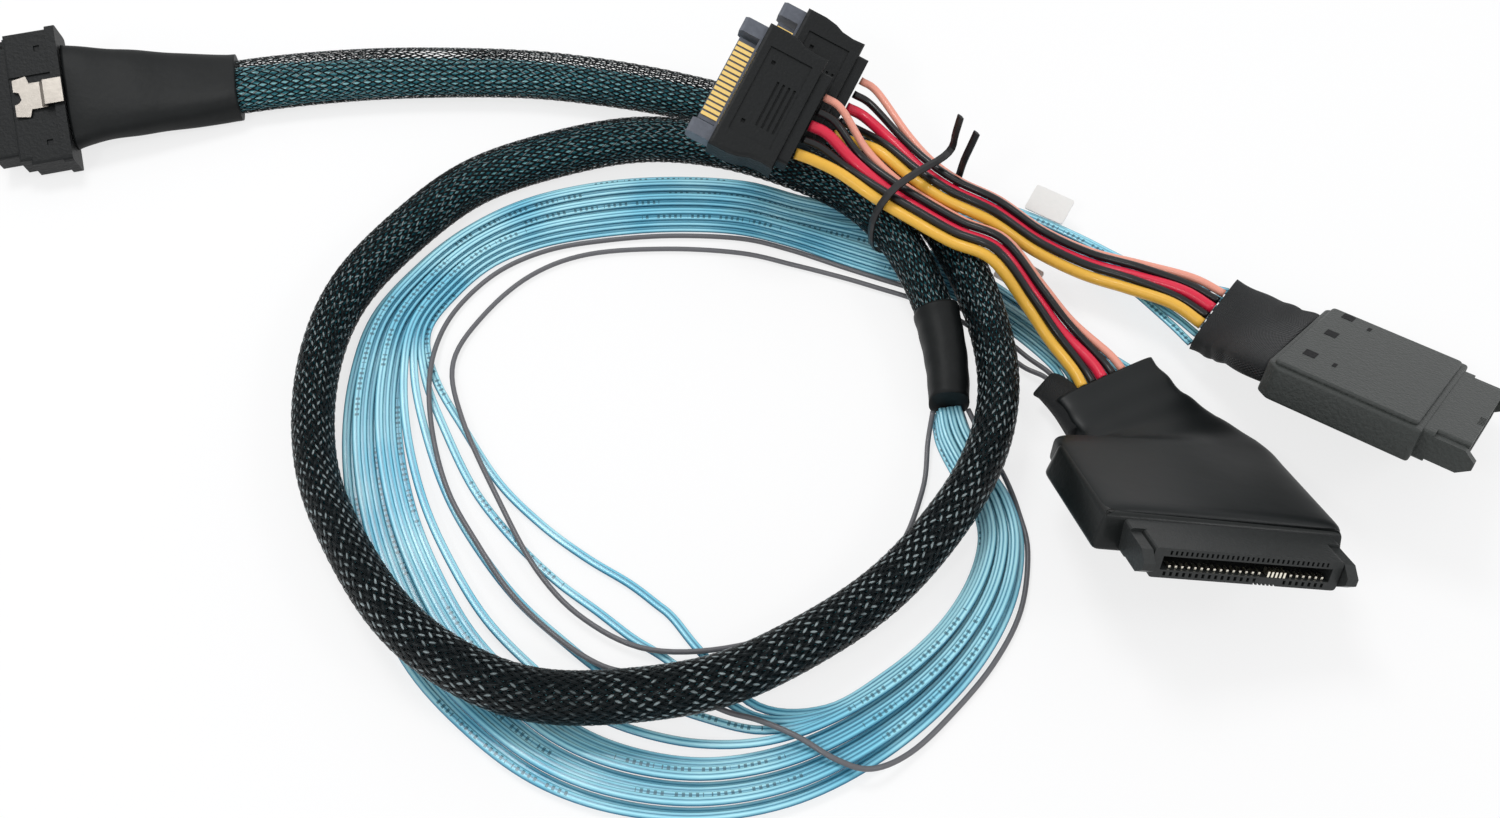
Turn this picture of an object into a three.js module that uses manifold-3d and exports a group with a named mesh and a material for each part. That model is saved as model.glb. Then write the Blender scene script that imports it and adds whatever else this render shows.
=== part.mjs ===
// Drive breakout cable harness: one wide host plug, a braided sleeve laid in a loop, loose flat data
// strands, two power inlets, two drive connectors, a twist tie and two flag labels.
// Millimetres, +Z up, lying on the floor z = 0 as a coil laid out on a table.
import * as THREE from "three";
import { mergeVertices } from "three/addons/utils/BufferGeometryUtils.js";
import Module from "manifold-3d";

const wasm = await Module();
wasm.setup();

// Fits shared by all the pieces
const seatGap = 0.3;
const floorLift = 0.4;

// Host plug: a wide low housing with a narrower nose, a spring latch and a heat-shrunk boot
const hostWidth = 33.4;
const hostThick = 7.2;
const hostLength = 12;
const hostNoseWidth = 27.6;
const hostNoseThick = 6;
const hostNoseLength = 5.4;
const hostRimLength = 1.6;
const hostRimProud = 0.6;
const hostSlotWidth = 24.4;
const hostSlotThick = 2.2;
const hostCardThick = 1.2;
const hostCardWidth = 23.4;
const hostKeyWidth = 1.3;
const hostKeyLength = 10;
const latchWidth = 10.4;
const latchLength = 7.4;
const latchTabWidth = 6.6;
const latchTabLength = 6.2;
const latchSheet = 0.4;
const latchRise = 1.1;
const bootRootWidth = 26.5;
const bootRootThick = 6.8;

// Braided sleeve and the tube shrunk over its loose end
const sleeveSides = 10;
const sleeveSteps = 72;
const shrinkSkin = 0.5;

// Flat twin data strands: seven to each drive connector, and two round grey sense wires
const strandCount = 14;
const strandWidth = 1.6;
const strandThick = 0.9;
const strandPitch = 1.75;
const strandRise = 1.05;
const greyWire = 1.1;

// Power wires of one inlet, in order from the low side of its row
const thickWire = 2.4;
const thinWire = 1.7;
const powerPitch = 2.2;
const powerExitPitch = 3.6;

// Power inlet: moulded body, wire boss, contact tongue and two guide prongs
const inletWidth = 30.6;
const inletLength = 14.9;
const inletThick = 8.4;
const inletBossWidth = 22.6;
const inletBossLength = 2.4;
const inletBossThick = 6.4;
const inletTongueWidth = 20.6;
const inletTongueThick = 2;
const inletTongueLength = 4.8;
const inletProngWidth = 3.4;
const inletProngLength = 5.6;
const inletProngThick = 5;
const inletProngGap = 0.8;
const powerContacts = 15;
const contactPitch = 1.27;
const contactWidth = 0.76;
const contactProud = 0.18;
const grooveCount = 4;

// Drive connector: moulded hood, receptacle nose with guide arms, and a cloth tape wrap
const hoodWidth = 48;
const hoodLength = 31;
const hoodThick = 7;
const hoodBevel = 0.9;
const hoodPanel = 0.7;
const hoodStepWidth = 2.4;
const hoodStepLength = 3.2;
const pocketDepth = 1.5;
const noseWidth = 37.4;
const noseThick = 6.2;
const noseLength = 8.6;
const cavityWidth = 33.6;
const cavityThick = 2.8;
const cavityDepth = 6;
const flangeWidth = 42.4;
const flangeLength = 2.2;
const armWidth = 2.2;
const armLength = 10.6;
const armThick = 4.8;
const slotDepth = 1.2;
const slotHeight = 0.85;
const topSlots = 32;
const topSlotPitch = 1;
const topSlotWidth = 0.42;
const lowSlotWidth = 0.55;
const signalSlots = 7;
const sideSlots = 6;
const sideSlotPitch = 0.8;
const tapeRootWidth = 40;
const tapeTailWidth = 24;
const tapeTailThick = 5.4;

// Twist tie round both turns of the sleeve, and the flag labels
const tieWidth = 2;
const tieThick = 0.7;
const flagLength = 9.5;
const flagWidth = 6.4;
const flagThick = 0.4;

const paint = {
  black: new THREE.MeshStandardMaterial({ color: 0x17181a, roughness: 0.55 }),
  gloss: new THREE.MeshStandardMaterial({ color: 0x101113, roughness: 0.25 }),
  dark: new THREE.MeshStandardMaterial({ color: 0x26282b, roughness: 0.6 }),
  braid: new THREE.MeshStandardMaterial({ color: 0x0f2c38, roughness: 0.5 }),
  strand: new THREE.MeshStandardMaterial({ color: 0x7fc6e0, roughness: 0.35 }),
  grey: new THREE.MeshStandardMaterial({ color: 0x55585c, roughness: 0.5 }),
  slate: new THREE.MeshStandardMaterial({ color: 0x8b8f9c, roughness: 0.5 }),
  steel: new THREE.MeshStandardMaterial({ color: 0xc9c0b4, roughness: 0.3, metalness: 1 }),
  gold: new THREE.MeshStandardMaterial({ color: 0xc9a24a, roughness: 0.3, metalness: 1 }),
  board: new THREE.MeshStandardMaterial({ color: 0x1d4a2c, roughness: 0.5 }),
  yellow: new THREE.MeshStandardMaterial({ color: 0xe8b13a, roughness: 0.4 }),
  red: new THREE.MeshStandardMaterial({ color: 0xd4283f, roughness: 0.35 }),
  orange: new THREE.MeshStandardMaterial({ color: 0xee8f78, roughness: 0.4 }),
  paper: new THREE.MeshStandardMaterial({ color: 0xf2f1ec, roughness: 0.7 }),
};

const harness = new THREE.Group();

function add(name, geometry, material, parent = harness) {
  const mesh = new THREE.Mesh(geometry, material);
  mesh.name = name;
  parent.add(mesh);
  return mesh;
}

// Solids, joined and cut
function solid(geometry) {
  const bare = geometry.clone();
  bare.deleteAttribute("normal");
  bare.deleteAttribute("uv");
  const merged = mergeVertices(bare, 1e-4);
  return new wasm.Manifold(
    new wasm.Mesh({
      numProp: 3,
      vertProperties: merged.attributes.position.array,
      triVerts: new Uint32Array(merged.index.array),
    }),
  );
}

function geometryOf(body) {
  const mesh = body.getMesh();
  const geometry = new THREE.BufferGeometry();
  geometry.setAttribute("position", new THREE.BufferAttribute(mesh.vertProperties.slice(), 3));
  geometry.setIndex(new THREE.BufferAttribute(mesh.triVerts.slice(), 1));
  return geometry;
}

const join = (...pieces) => pieces.map(solid).reduce((a, b) => a.add(b));
const cut = (body, ...tools) => tools.map(solid).reduce((a, b) => a.subtract(b), body);

// A box from its x, y and z ranges
function block([x0, x1], [y0, y1], [z0, z1]) {
  const box = new THREE.BoxGeometry(x1 - x0, y1 - y0, z1 - z0);
  return box.translate((x0 + x1) / 2, (y0 + y1) / 2, (z0 + z1) / 2);
}

const about = (centre, width) => [centre - width / 2, centre + width / 2];

function outline(points) {
  return new THREE.Shape(points.map(([x, y]) => new THREE.Vector2(x, y)));
}

function roundedRect(width, height, radius) {
  const shape = new THREE.Shape();
  const w = width / 2;
  const h = height / 2;
  shape.moveTo(-w + radius, -h);
  shape.lineTo(w - radius, -h);
  shape.quadraticCurveTo(w, -h, w, -h + radius);
  shape.lineTo(w, h - radius);
  shape.quadraticCurveTo(w, h, w - radius, h);
  shape.lineTo(-w + radius, h);
  shape.quadraticCurveTo(-w, h, -w, h - radius);
  shape.lineTo(-w, -h + radius);
  shape.quadraticCurveTo(-w, -h, -w + radius, -h);
  return shape;
}

// A plan outline (x, y) made a plate from z0 up, with bevelled rims
function plate(shape, thick, z0, bevel = 0) {
  const geometry = new THREE.ExtrudeGeometry(shape, {
    depth: thick - 2 * bevel,
    bevelEnabled: bevel > 0,
    bevelThickness: bevel,
    bevelSize: bevel,
    bevelOffset: -bevel,
    bevelSegments: 2,
    curveSegments: 3,
  });
  return geometry.translate(0, 0, z0 + bevel);
}

// A front outline (x, z) carried along y from y0 to y1
function bar(shape, y0, y1) {
  const geometry = new THREE.ExtrudeGeometry(shape, {
    depth: y1 - y0,
    bevelEnabled: false,
    curveSegments: 3,
  });
  return geometry.rotateX(Math.PI / 2).translate(0, y1, 0);
}

// A side outline (y, z) carried along x from x0 to x1
function cheek(points, x0, x1) {
  const geometry = new THREE.ExtrudeGeometry(outline(points), {
    depth: x1 - x0,
    bevelEnabled: false,
  });
  geometry.applyMatrix4(new THREE.Matrix4().set(0, 0, 1, x0, 1, 0, 0, 0, 0, 1, 0, 0, 0, 0, 0, 1));
  return geometry;
}

// Cross section of a cord: an oval, or a flat wrap with full corners
function section(sides, corner = 1) {
  const points = [];
  for (let i = 0; i < sides; i++) {
    const turn = ((i + 0.5) / sides) * 2 * Math.PI;
    const c = Math.cos(turn);
    const s = Math.sin(turn);
    points.push([Math.sign(c) * Math.abs(c) ** corner, Math.sign(s) * Math.abs(s) ** corner]);
  }
  return outline(points);
}

// A section carried through a row of points. Each point has its own width, height and across vector,
// and the two end faces can be turned square to given directions.
function carried(points, sizes, across, sides, corner = 1, facing = []) {
  const last = points.length - 1;
  const geometry = new THREE.ExtrudeGeometry(section(sides, corner), {
    depth: last,
    steps: last,
    bevelEnabled: false,
  });
  const frames = points.map((point, k) => {
    const run = points[Math.min(k + 1, last)].clone().sub(points[Math.max(k - 1, 0)]).normalize();
    const along = (k === 0 && facing[0]) || (k === last && facing[1]) || run;
    const side = across ? across[k].clone() : new THREE.Vector3(-along.y, along.x, 0);
    side.addScaledVector(along, -side.dot(along)).normalize();
    return { point, side, up: along.clone().cross(side), size: sizes[k] };
  });
  const position = geometry.attributes.position;
  const spot = new THREE.Vector3();
  for (let i = 0; i < position.count; i++) {
    const frame = frames[Math.round(position.getZ(i))];
    spot.copy(frame.point);
    spot.addScaledVector(frame.side, (position.getX(i) * frame.size[0]) / 2);
    spot.addScaledVector(frame.up, (position.getY(i) * frame.size[1]) / 2);
    position.setXYZ(i, spot.x, spot.y, spot.z);
  }
  return geometry;
}

function smooth(rows, steps) {
  const curve = new THREE.CatmullRomCurve3(rows, false, "catmullrom", 0.5);
  return Array.from({ length: steps + 1 }, (_, k) => curve.getPoint(k / steps));
}

// Where the five rigid ends lie: a point, then turn about Z, nose lift and roll in degrees
function pose([x, y, z], turn, lift, roll) {
  const group = new THREE.Group();
  group.position.set(x, y, z);
  group.rotation.set(
    THREE.MathUtils.degToRad(lift),
    THREE.MathUtils.degToRad(roll),
    THREE.MathUtils.degToRad(turn),
    "ZXY",
  );
  group.updateMatrix();
  harness.add(group);
  return group;
}

const spotOn = (group, x, y, z) => new THREE.Vector3(x, y, z).applyMatrix4(group.matrix);
const axisOf = (group, column) =>
  new THREE.Vector3().setFromMatrixColumn(group.matrix, column).normalize();

const hostPose = pose([-173.1, 74.1, 9.6], 104, 0, -20);
const inletPoseA = pose([-3.4, 59.6, 30.8], 67.7, 16.5, -21.3);
const inletPoseB = pose([5.3, 70.4, 25], 67.7, 16.5, -21.3);
const lowerPose = pose([88, -49.2, 22.9], 189.6, 29.8, -14.9);
const rightPose = pose([136.8, -16.5, 17.9], 234.5, 6, -31.1);

// Host plug
function hostHousing() {
  const rim = hostWidth + 2 * hostRimProud;
  const stepped = outline([
    [-hostWidth / 2, -hostLength + hostRimLength],
    [-hostWidth / 2, -2.6],
    [-hostWidth / 2 + 1.2, -2.6],
    [-hostWidth / 2 + 1.2, 0],
    [hostWidth / 2, 0],
    [hostWidth / 2, -hostLength + hostRimLength],
  ].reverse());
  const body = plate(stepped, hostThick, -hostThick / 2, 0.5);
  const collar = bar(
    roundedRect(rim, hostThick + 2 * hostRimProud, 1.2),
    -hostLength,
    -hostLength + hostRimLength + 0.6,
  );
  const nose = bar(roundedRect(hostNoseWidth, hostNoseThick, 0.8), -1, hostNoseLength);
  const key = block(
    about(hostWidth / 2 - hostKeyWidth / 2 - 0.3, hostKeyWidth),
    [-2, hostKeyLength - 4],
    about(0.6, hostKeyWidth),
  );
  const keyRoot = block(
    [hostNoseWidth / 2 - 1, hostWidth / 2 - 0.3],
    [-1, 0.6],
    about(0.6, 3),
  );
  const slot = block(
    about(0, hostSlotWidth),
    [-hostLength / 2, hostNoseLength + 1],
    about(0, hostSlotThick),
  );
  const pits = [-0.36, 0.36].map((share) =>
    block(about(share * hostWidth, 1.4), about(-7.4, 1.4), [hostThick / 2 - 0.4, hostThick]),
  );
  const bed = block(
    about(0, latchWidth + 2 * seatGap),
    [-hostLength + hostRimLength + 0.8, -0.1],
    [hostThick / 2 - latchSheet, hostThick],
  );
  return geometryOf(cut(join(body, collar, nose, key, keyRoot), slot, ...pits, bed));
}

function hostCard() {
  return block(
    about(0, hostCardWidth),
    [-hostLength / 2 + seatGap, hostNoseLength - 0.8],
    [-hostSlotThick / 2 + seatGap, -hostSlotThick / 2 + seatGap + hostCardThick],
  );
}

// Spring latch: a forked front with a round notch, two wings, a neck and a raised thumb tab
function latch() {
  const w = latchWidth / 2;
  const t = latchTabWidth / 2;
  const front = -0.9;
  const notch = [0, 0.2, 0.4, 0.75, 0.8, 1].map((share) => [
    -1.7 * Math.cos(share * Math.PI),
    front - 1.7 * Math.sin(share * Math.PI),
  ]);
  const leafOutline = outline([
    [-w, front - latchLength * 0.42],
    [-w + 0.6, front],
    ...notch,
    [w - 0.6, front],
    [w, front - latchLength * 0.42],
    [t, front - latchLength * 0.5],
    [t, front - latchLength],
    [-t, front - latchLength],
    [-t, front - latchLength * 0.5],
  ]);
  const bed = hostThick / 2 - latchSheet + seatGap;
  const leaf = plate(leafOutline, latchSheet, bed);
  const tabFront = front - latchLength + 2.4;
  const tabRear = tabFront - latchTabLength;
  const tab = cheek(
    [
      [tabFront, bed],
      [tabFront - 1, bed + latchSheet],
      [tabFront - 2, bed + latchRise + latchSheet],
      [tabRear, bed + latchRise + latchSheet],
      [tabRear, bed + latchRise],
      [tabFront - 2.3, bed + latchRise],
      [tabFront - 1.5, bed],
    ].reverse(),
    -t + 0.2,
    t - 0.2,
  );
  return geometryOf(join(leaf, tab));
}

add("host_plug_housing", hostHousing(), paint.black, hostPose);
add("host_paddle_card", hostCard(), paint.board, hostPose);
add("host_latch_spring", latch(), paint.steel, hostPose);

// Sleeve route: place, underside height, width and height of the oval, from the boot to the loose end
const sleeveRoute = [
  [-127, 85, 0, 16, 8.6],
  [-116, 87.3, 0, 16, 8.6],
  [-90, 90, 0, 15, 9],
  [-57, 89.6, 0, 13, 9.8],
  [-40, 87.2, 0, 12.4, 10],
  [-22, 83.6, 0, 12, 9.6],
  [5, 75, 0, 11, 9.6],
  [17, 68, 1.2, 10, 10.4],
  [27, 59.5, 2.8, 9.4, 11.6],
  [35, 49, 4.2, 8.8, 12.4],
  [41.5, 38, 4.4, 8.6, 12.4],
  [46, 27, 4.2, 8.6, 12.6],
  [49.3, 15, 3.8, 8.6, 13],
  [51.2, 2, 3.8, 8.6, 13],
  [50.5, -10, 4.6, 8.6, 13],
  [47, -22, 5, 8.8, 12.6],
  [41.5, -32, 3.6, 9, 12.4],
  [25, -51, 0.75, 9.6, 12],
  [2, -67, 3.2, 9.8, 12],
  [-10, -72, 3.8, 9.8, 12],
  [-37, -74.6, 4, 9.8, 12],
  [-50, -71, 4, 9.8, 12],
  [-62, -64, 4, 9.6, 12],
  [-72, -54, 3.8, 9.2, 12.4],
  [-86.5, -30, 1, 8.6, 13],
  [-91, -15, 0, 8.6, 13],
  [-92.5, 0, 0, 8.6, 13],
  [-91, 15, 0, 8.6, 13],
  [-86, 28, 0, 9, 12.6],
  [-70, 49.5, 0, 10, 11.6],
  [-59, 58, 0, 10.6, 11],
  [-32, 67.6, 0, 11.2, 10.4],
  [-17, 68, 0, 11, 10],
  [-3, 65, 0, 10.4, 9.8],
  [9, 58.5, 1.2, 9.8, 9.6],
  [19, 51, 3.4, 9.2, 10],
  [27.5, 42, 4.4, 8.6, 11.6],
  [33.5, 31.5, 4.4, 8.6, 11.6],
  [38, 20.5, 3, 8.4, 11],
  [40, 12.6, 1.8, 8.4, 10],
];

function sleevePath(route, steps) {
  const points = smooth(route.map(([x, y, low, , high]) => new THREE.Vector3(x, y, low + high / 2)), steps);
  const sizes = smooth(route.map(([, , , wide, high]) => new THREE.Vector3(wide, high, 0)), steps);
  return { points, sizes: sizes.map((s) => [s.x, s.y]) };
}

const sleeveStart = new THREE.Vector3(0.98, 0.2, 0).normalize();
const sleeveEnd = new THREE.Vector3(0.13, -1, 0).normalize();

function braidedSleeve() {
  const { points, sizes } = sleevePath(sleeveRoute, sleeveSteps);
  return carried(points, sizes, null, sleeveSides, 1, [sleeveStart, sleeveEnd]);
}

// Boot: shrunk from the housing's rear face down to the start of the sleeve
function hostBoot() {
  const [x, y, low, wide, high] = sleeveRoute[0];
  const root = spotOn(hostPose, 0, -hostLength - seatGap, 0);
  const tail = new THREE.Vector3(x, y, low + high / 2);
  tail.addScaledVector(sleeveStart, -seatGap);
  const flat = new THREE.Vector3(-sleeveStart.y, sleeveStart.x, 0);
  const rearward = axisOf(hostPose, 1).negate();
  const curve = new THREE.CubicBezierCurve3(
    root,
    root.clone().addScaledVector(rearward, 9),
    tail.clone().addScaledVector(sleeveStart, -9),
    tail,
  );
  const shares = [0, 0.12, 0.3, 0.55, 0.8, 1];
  const points = shares.map((share) => curve.getPoint(share));
  const across = shares.map((share) => axisOf(hostPose, 0).lerp(flat, share).normalize());
  const sizes = shares.map((share) => [
    THREE.MathUtils.lerp(bootRootWidth, wide + shrinkSkin, share ** 0.8),
    THREE.MathUtils.lerp(bootRootThick, high + shrinkSkin, share),
  ]);
  return carried(points, sizes, across, 12, 0.75, [rearward, sleeveStart]);
}

// Tube shrunk over the sleeve's loose end
const shrinkRoute = [
  [40.05, 12.2, 2.2],
  [40.8, 6, 1.6],
  [41.1, 0, 1.1],
  [40.9, -6.2, 1],
];

function sleeveEndShrink() {
  const end = sleeveRoute.at(-1);
  const points = shrinkRoute.map(([x, y, low]) => new THREE.Vector3(x, y, low + (end[4] - 1) / 2));
  const sizes = points.map((_, k) => [end[3] + shrinkSkin - 0.25 * k, end[4] - 1 - 0.3 * k]);
  return carried(points, sizes, null, 10, 0.8, [sleeveEnd, new THREE.Vector3(0, -1, 0)]);
}

add("host_boot", hostBoot(), paint.black);
add("braided_sleeve", braidedSleeve(), paint.braid);
add("sleeve_end_shrink", sleeveEndShrink(), paint.black);

// Data strands. A station is a place on the bundle's middle line, the height of its lowest row, half
// the bundle's width, and how far the innermost strand strays from it into the loop. Seen along the
// bundle, each strand keeps its own lane, and where the lanes are closer than a strand is wide they
// stack in four rows.
const bundleRoute = [
  [40.9, -6.9, 1.5, 2.6],
  [42, -13, 1, 3.1],
  [45.2, -21, 0.75, 3.2],
  [48.8, -29, 0.75, 3.4],
  [49.6, -38, 0.75, 3.8],
  [46.4, -49, 0.75, 4.5],
  [39.5, -60, 0.75, 5.2],
  [29.5, -70, 0.75, 6],
  [17, -78.5, 0.75, 6.8],
  [4, -84, 0.75, 7.4, 5],
  [-10, -86, 0.75, 7.8, 17],
  [-24, -84, 0.75, 8.4, 23],
  [-36, -79, 0.75, 9, 24],
  [-47, -70.5, 0.75, 9.5, 23.5],
  [-58, -59, 0.75, 9.7, 21],
  [-66.5, -45, 0.75, 9.4, 17],
  [-73, -30, 0.75, 8.6, 13],
  [-77.5, -13, 0.75, 7.8, 9],
  [-79, 3, 0.75, 7, 3.5],
  [-77.5, 17, 0.75, 6.2],
  [-71, 29, 0.75, 5.6],
  [-62, 39, 0.75, 5.6],
  [-50, 46, 0.75, 6.4],
  [-35, 50, 0.75, 7],
  [-19, 51.5, 0.75, 7],
  [-3, 50.5, 0.75, 6.8],
  [10, 46.4, 0.75, 6.4],
];

// Where the tape of each drive connector lets the strands and wires out, and the way out
const lowerTail = { at: new THREE.Vector3(74, -0.9, 4.7), out: new THREE.Vector3(-0.45, 0.893, 0) };
const rightTail = { at: new THREE.Vector3(98.7, 14.1, 9.2), out: new THREE.Vector3(-0.8, 0.6, 0) };

// A station square to a tape's mouth, so far out of it and so far above its middle
function approach(tail, back, above, half) {
  const spot = tail.at.clone().addScaledVector(tail.out, back);
  const left = new THREE.Vector3(tail.out.y, -tail.out.x, 0);
  return [spot.x, spot.y, spot.z + above, half, 0, left];
}

// From where the bundle parts: the half that goes to the lower connector, and the half to the right one
const lowerBranch = [
  [22, 38.6, 0.75, 4],
  [30, 35.6, 0.75, 4.2],
  [38, 32.6, 0.75, 4.1],
  [47, 28, 0.75, 3.6],
  [56, 20.5, 0.8, 3.2],
  [64, 12.6, 1.2, 3.6],
  approach(lowerTail, 7, -2, 6),
  approach(lowerTail, 0.5, -1.6, 8.6),
];
const rightBranch = [
  [22, 47.6, 0.75, 4],
  [31, 48.9, 0.75, 4.2],
  [40, 50.4, 0.75, 4.1],
  [50, 49.6, 0.8, 3.4],
  [61, 45.5, 1, 3],
  [72, 38, 2, 3],
  [83, 27.5, 4.4, 3.6],
  approach(rightTail, 8, -1.8, 6),
  approach(rightTail, 0.5, -1.6, 8.6),
];

// How much of a station's straying each lane takes, from the innermost outward
const strayShares = [1, 0.7, 0.38, 0.1];
const strayFlat = 6;

// Rows of stations made into one smooth lane each
function lane(stations, lanes, index, pitch, rise, rows, first = 0) {
  const middles = stations.map(([x, y, z]) => new THREE.Vector3(x, y, z));
  const square = stations.map((station) => station[5]);
  const last = middles.length - 1;
  return middles.map((middle, k) => {
    const along = middles[Math.min(k + 1, last)].clone().sub(middles[Math.max(k - 1, 0)]);
    const left = square[k] ?? new THREE.Vector3(-along.y, along.x, 0).normalize();
    const gap = (2 * stations[k][3]) / (lanes - 1);
    const stray = (stations[k][4] ?? 0) * (strayShares[index] ?? 0);
    const shift = (index - (lanes - 1) / 2) * gap - stray;
    const packed = Math.sqrt(Math.max(0, 1 - (gap / pitch) ** 2)) * Math.max(0, 1 - stray / strayFlat);
    const row = ((index + first) % rows) * rise * packed;
    return middle.clone().addScaledVector(left, shift).add(new THREE.Vector3(0, 0, row));
  });
}

function cordAlong(points, wide, high, sides = 8) {
  return carried(points, points.map(() => [wide, high]), null, sides);
}

const half = strandCount / 2;
for (let i = 0; i < strandCount; i++) {
  const toRight = i >= half;
  const shared = lane(bundleRoute, strandCount, i, strandPitch, strandRise, 4);
  const branch = lane(
    toRight ? rightBranch : lowerBranch,
    half,
    i % half,
    strandPitch,
    strandRise,
    4,
    toRight ? half : 0,
  );
  const knots = [...shared, ...branch];
  const points = smooth(knots, knots.length - 1);
  const name = (toRight ? "strand_right_" : "strand_lower_") + ((i % half) + 1);
  add(name, cordAlong(points, strandWidth, strandThick), paint.strand);
}

// Grey sense wires. The first keeps to the inside of the loop. The second starts outside the bundle,
// climbs over it near the bottom of the loop and passes under the sleeve to the inside.
const greyInner = [
  [37.6, -7.4, 3.9],
  [36.4, -13.5, 1.8],
  [34.6, -25, 0.8],
  [28, -40, 0.8],
  [14, -53, 0.8],
  [-3, -60, 1.8],
  [-20, -61, 2.2],
  [-33, -54.6, 2.2],
  [-43, -44, 2.2],
  [-52, -28, 2.2],
  [-61.5, -8, 2],
  [-65, 7, 1.2],
  [-59.6, 20, 0.8],
  [-50, 31, 0.8],
  [-37.6, 37, 0.8],
  [-20, 38.6, 0.8],
  [-3, 37.4, 0.8],
  [9, 34, 0.8],
  [20, 30.4, 0.8],
  [28, 27.4, 0.8],
  [36, 24.2, 0.8],
  [44, 19.6, 0.8],
  [51.6, 13, 0.9],
  [58, 5.8, 1.4],
];
const greyOuter = [
  [44.9, -7.4, 4.7],
  [47.9, -14, 3],
  [52, -22, 0.8],
  [54, -30, 0.8],
  [55, -39, 0.8],
  [52.4, -52, 0.8],
  [46, -63.5, 0.8],
  [37, -74, 0.8],
  [29, -81.5, 1.4],
  [21.5, -85.4, 3.6],
  [15, -84, 4.7],
  [8, -79.6, 4.7],
  [1, -76, 3.6],
  [-5, -73.8, 2.4],
  [-12, -70.4, 2.2],
  [-20, -66.6, 2.2],
  [-29, -64.4, 2.2],
  [-38, -58.6, 2.4],
  [-47.5, -49.5, 2.6],
  [-55.5, -38, 2.6],
  [-62.5, -26, 2.6],
  [-67.2, -12, 2.6],
  [-69.4, 2, 2.4],
  [-68.6, 14, 1.2],
  [-64.6, 23.6, 0.8],
  [-57, 32.4, 0.8],
  [-46.6, 38.2, 0.8],
  [-34, 41, 0.8],
  [-19, 42.4, 0.8],
  [-3, 41.6, 0.8],
  [8, 38.4, 0.8],
  [20, 33.4, 0.8],
  [28.4, 30, 0.8],
  [36, 27, 0.8],
  [44.4, 22.8, 0.8],
  [52.4, 16.2, 0.9],
  [59, 8.6, 1.3],
];

// The last two points of a grey wire: side by side with the strands in the lower connector's tape
function greyInto(tail, lane, wider) {
  return [approach(tail, 7, -2, 1), approach(tail, 0.5, -1.6, 1)].map(([x, y, z, , , left], k) =>
    new THREE.Vector3(x, y, z).addScaledVector(left, lane + k * wider),
  );
}

function greyPoints(route, lane, wider) {
  const knots = [...route.map((p) => new THREE.Vector3(...p)), ...greyInto(lowerTail, lane, wider)];
  return smooth(knots, knots.length + 2);
}

add("grey_wire_1", cordAlong(greyPoints(greyInner, -8.9, -2.6), greyWire, greyWire), paint.grey);
add("grey_wire_2", cordAlong(greyPoints(greyOuter, -7.5, -2.7), greyWire, greyWire), paint.grey);

// Power inlets
function inletBody() {
  const w = inletWidth / 2;
  const shape = new THREE.Shape();
  shape.moveTo(-w, 0);
  shape.lineTo(-w, -inletLength * 0.3);
  shape.bezierCurveTo(
    -w, -inletLength * 0.55,
    -w + 1.8, -inletLength * 0.55,
    -w + 1.6, -inletLength * 0.8,
  );
  shape.lineTo(-w + 1.4, -inletLength);
  shape.lineTo(w - 1.4, -inletLength);
  shape.lineTo(w - 1.6, -inletLength * 0.8);
  shape.bezierCurveTo(
    w - 1.8, -inletLength * 0.55,
    w, -inletLength * 0.55,
    w, -inletLength * 0.3,
  );
  shape.lineTo(w, 0);
  shape.closePath();
  const shell = plate(shape, inletThick, -inletThick / 2, 0.8);
  const boss = bar(
    roundedRect(inletBossWidth, inletBossThick, 1.2),
    -inletLength - inletBossLength,
    -inletLength + 0.8,
  );
  const face = inletThick / 2;
  const panel = block(about(0, inletWidth * 0.68), [-inletLength * 0.84, -inletLength * 0.16], [
    face - 0.35,
    face + 1,
  ]);
  const grooves = [];
  for (let i = 0; i < grooveCount; i++) {
    grooves.push(
      block(about(-1.5, 11), about(-inletLength * 0.5 - i * 1.35, 0.55), [face - 0.8, face + 1]),
    );
  }
  const pits = [-0.24, 0.24].map((share) =>
    block(about(share * inletWidth, 0.9), about(-inletLength * 0.3, 0.9), [face - 0.9, face + 1]),
  );
  const mouth = block(
    about(0, inletTongueWidth + 2 * (inletProngGap + inletProngWidth + seatGap)),
    [-1.2, 1],
    about(0, inletProngThick + 2 * seatGap),
  );
  return geometryOf(cut(join(shell, boss), panel, ...grooves, ...pits, mouth));
}

// Insulator: contact tongue, its base and the two prongs, with the contacts standing on the tongue
function inletTongue() {
  const base = -1.2 + seatGap;
  const reach = inletTongueWidth / 2 + inletProngGap + inletProngWidth;
  const foot = block(about(0, 2 * reach), [base, 0.6], about(0, inletProngThick));
  const tongue = block(
    about(0, inletTongueWidth),
    [0, inletTongueLength],
    about(-0.6, inletTongueThick),
  );
  const prong = (side) => {
    const near = side * (reach - inletProngWidth / 2);
    const tip = inletProngThick / 2;
    return cheek(
      [
        [0, -tip],
        [inletProngLength - 0.8, -tip],
        [inletProngLength, -tip + 0.8],
        [inletProngLength, tip - 0.8],
        [inletProngLength - 0.8, tip],
        [0, tip],
      ],
      ...about(near, inletProngWidth),
    );
  };
  const top = -0.6 + inletTongueThick / 2;
  const contacts = [];
  for (let i = 0; i < powerContacts; i++) {
    const x = (i - (powerContacts - 1) / 2) * contactPitch;
    contacts.push(block(about(x, contactWidth), [0.3, inletTongueLength - 0.3], [top - 0.1, top + contactProud]));
  }
  return geometryOf(join(foot, tongue, prong(-1), prong(1), ...contacts));
}

add("power_inlet_a_body", inletBody(), paint.black, inletPoseA);
add("power_inlet_a_tongue", inletTongue(), paint.slate, inletPoseA);
add("power_inlet_b_body", inletBody(), paint.black, inletPoseB);
add("power_inlet_b_tongue", inletTongue(), paint.slate, inletPoseB);

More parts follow.
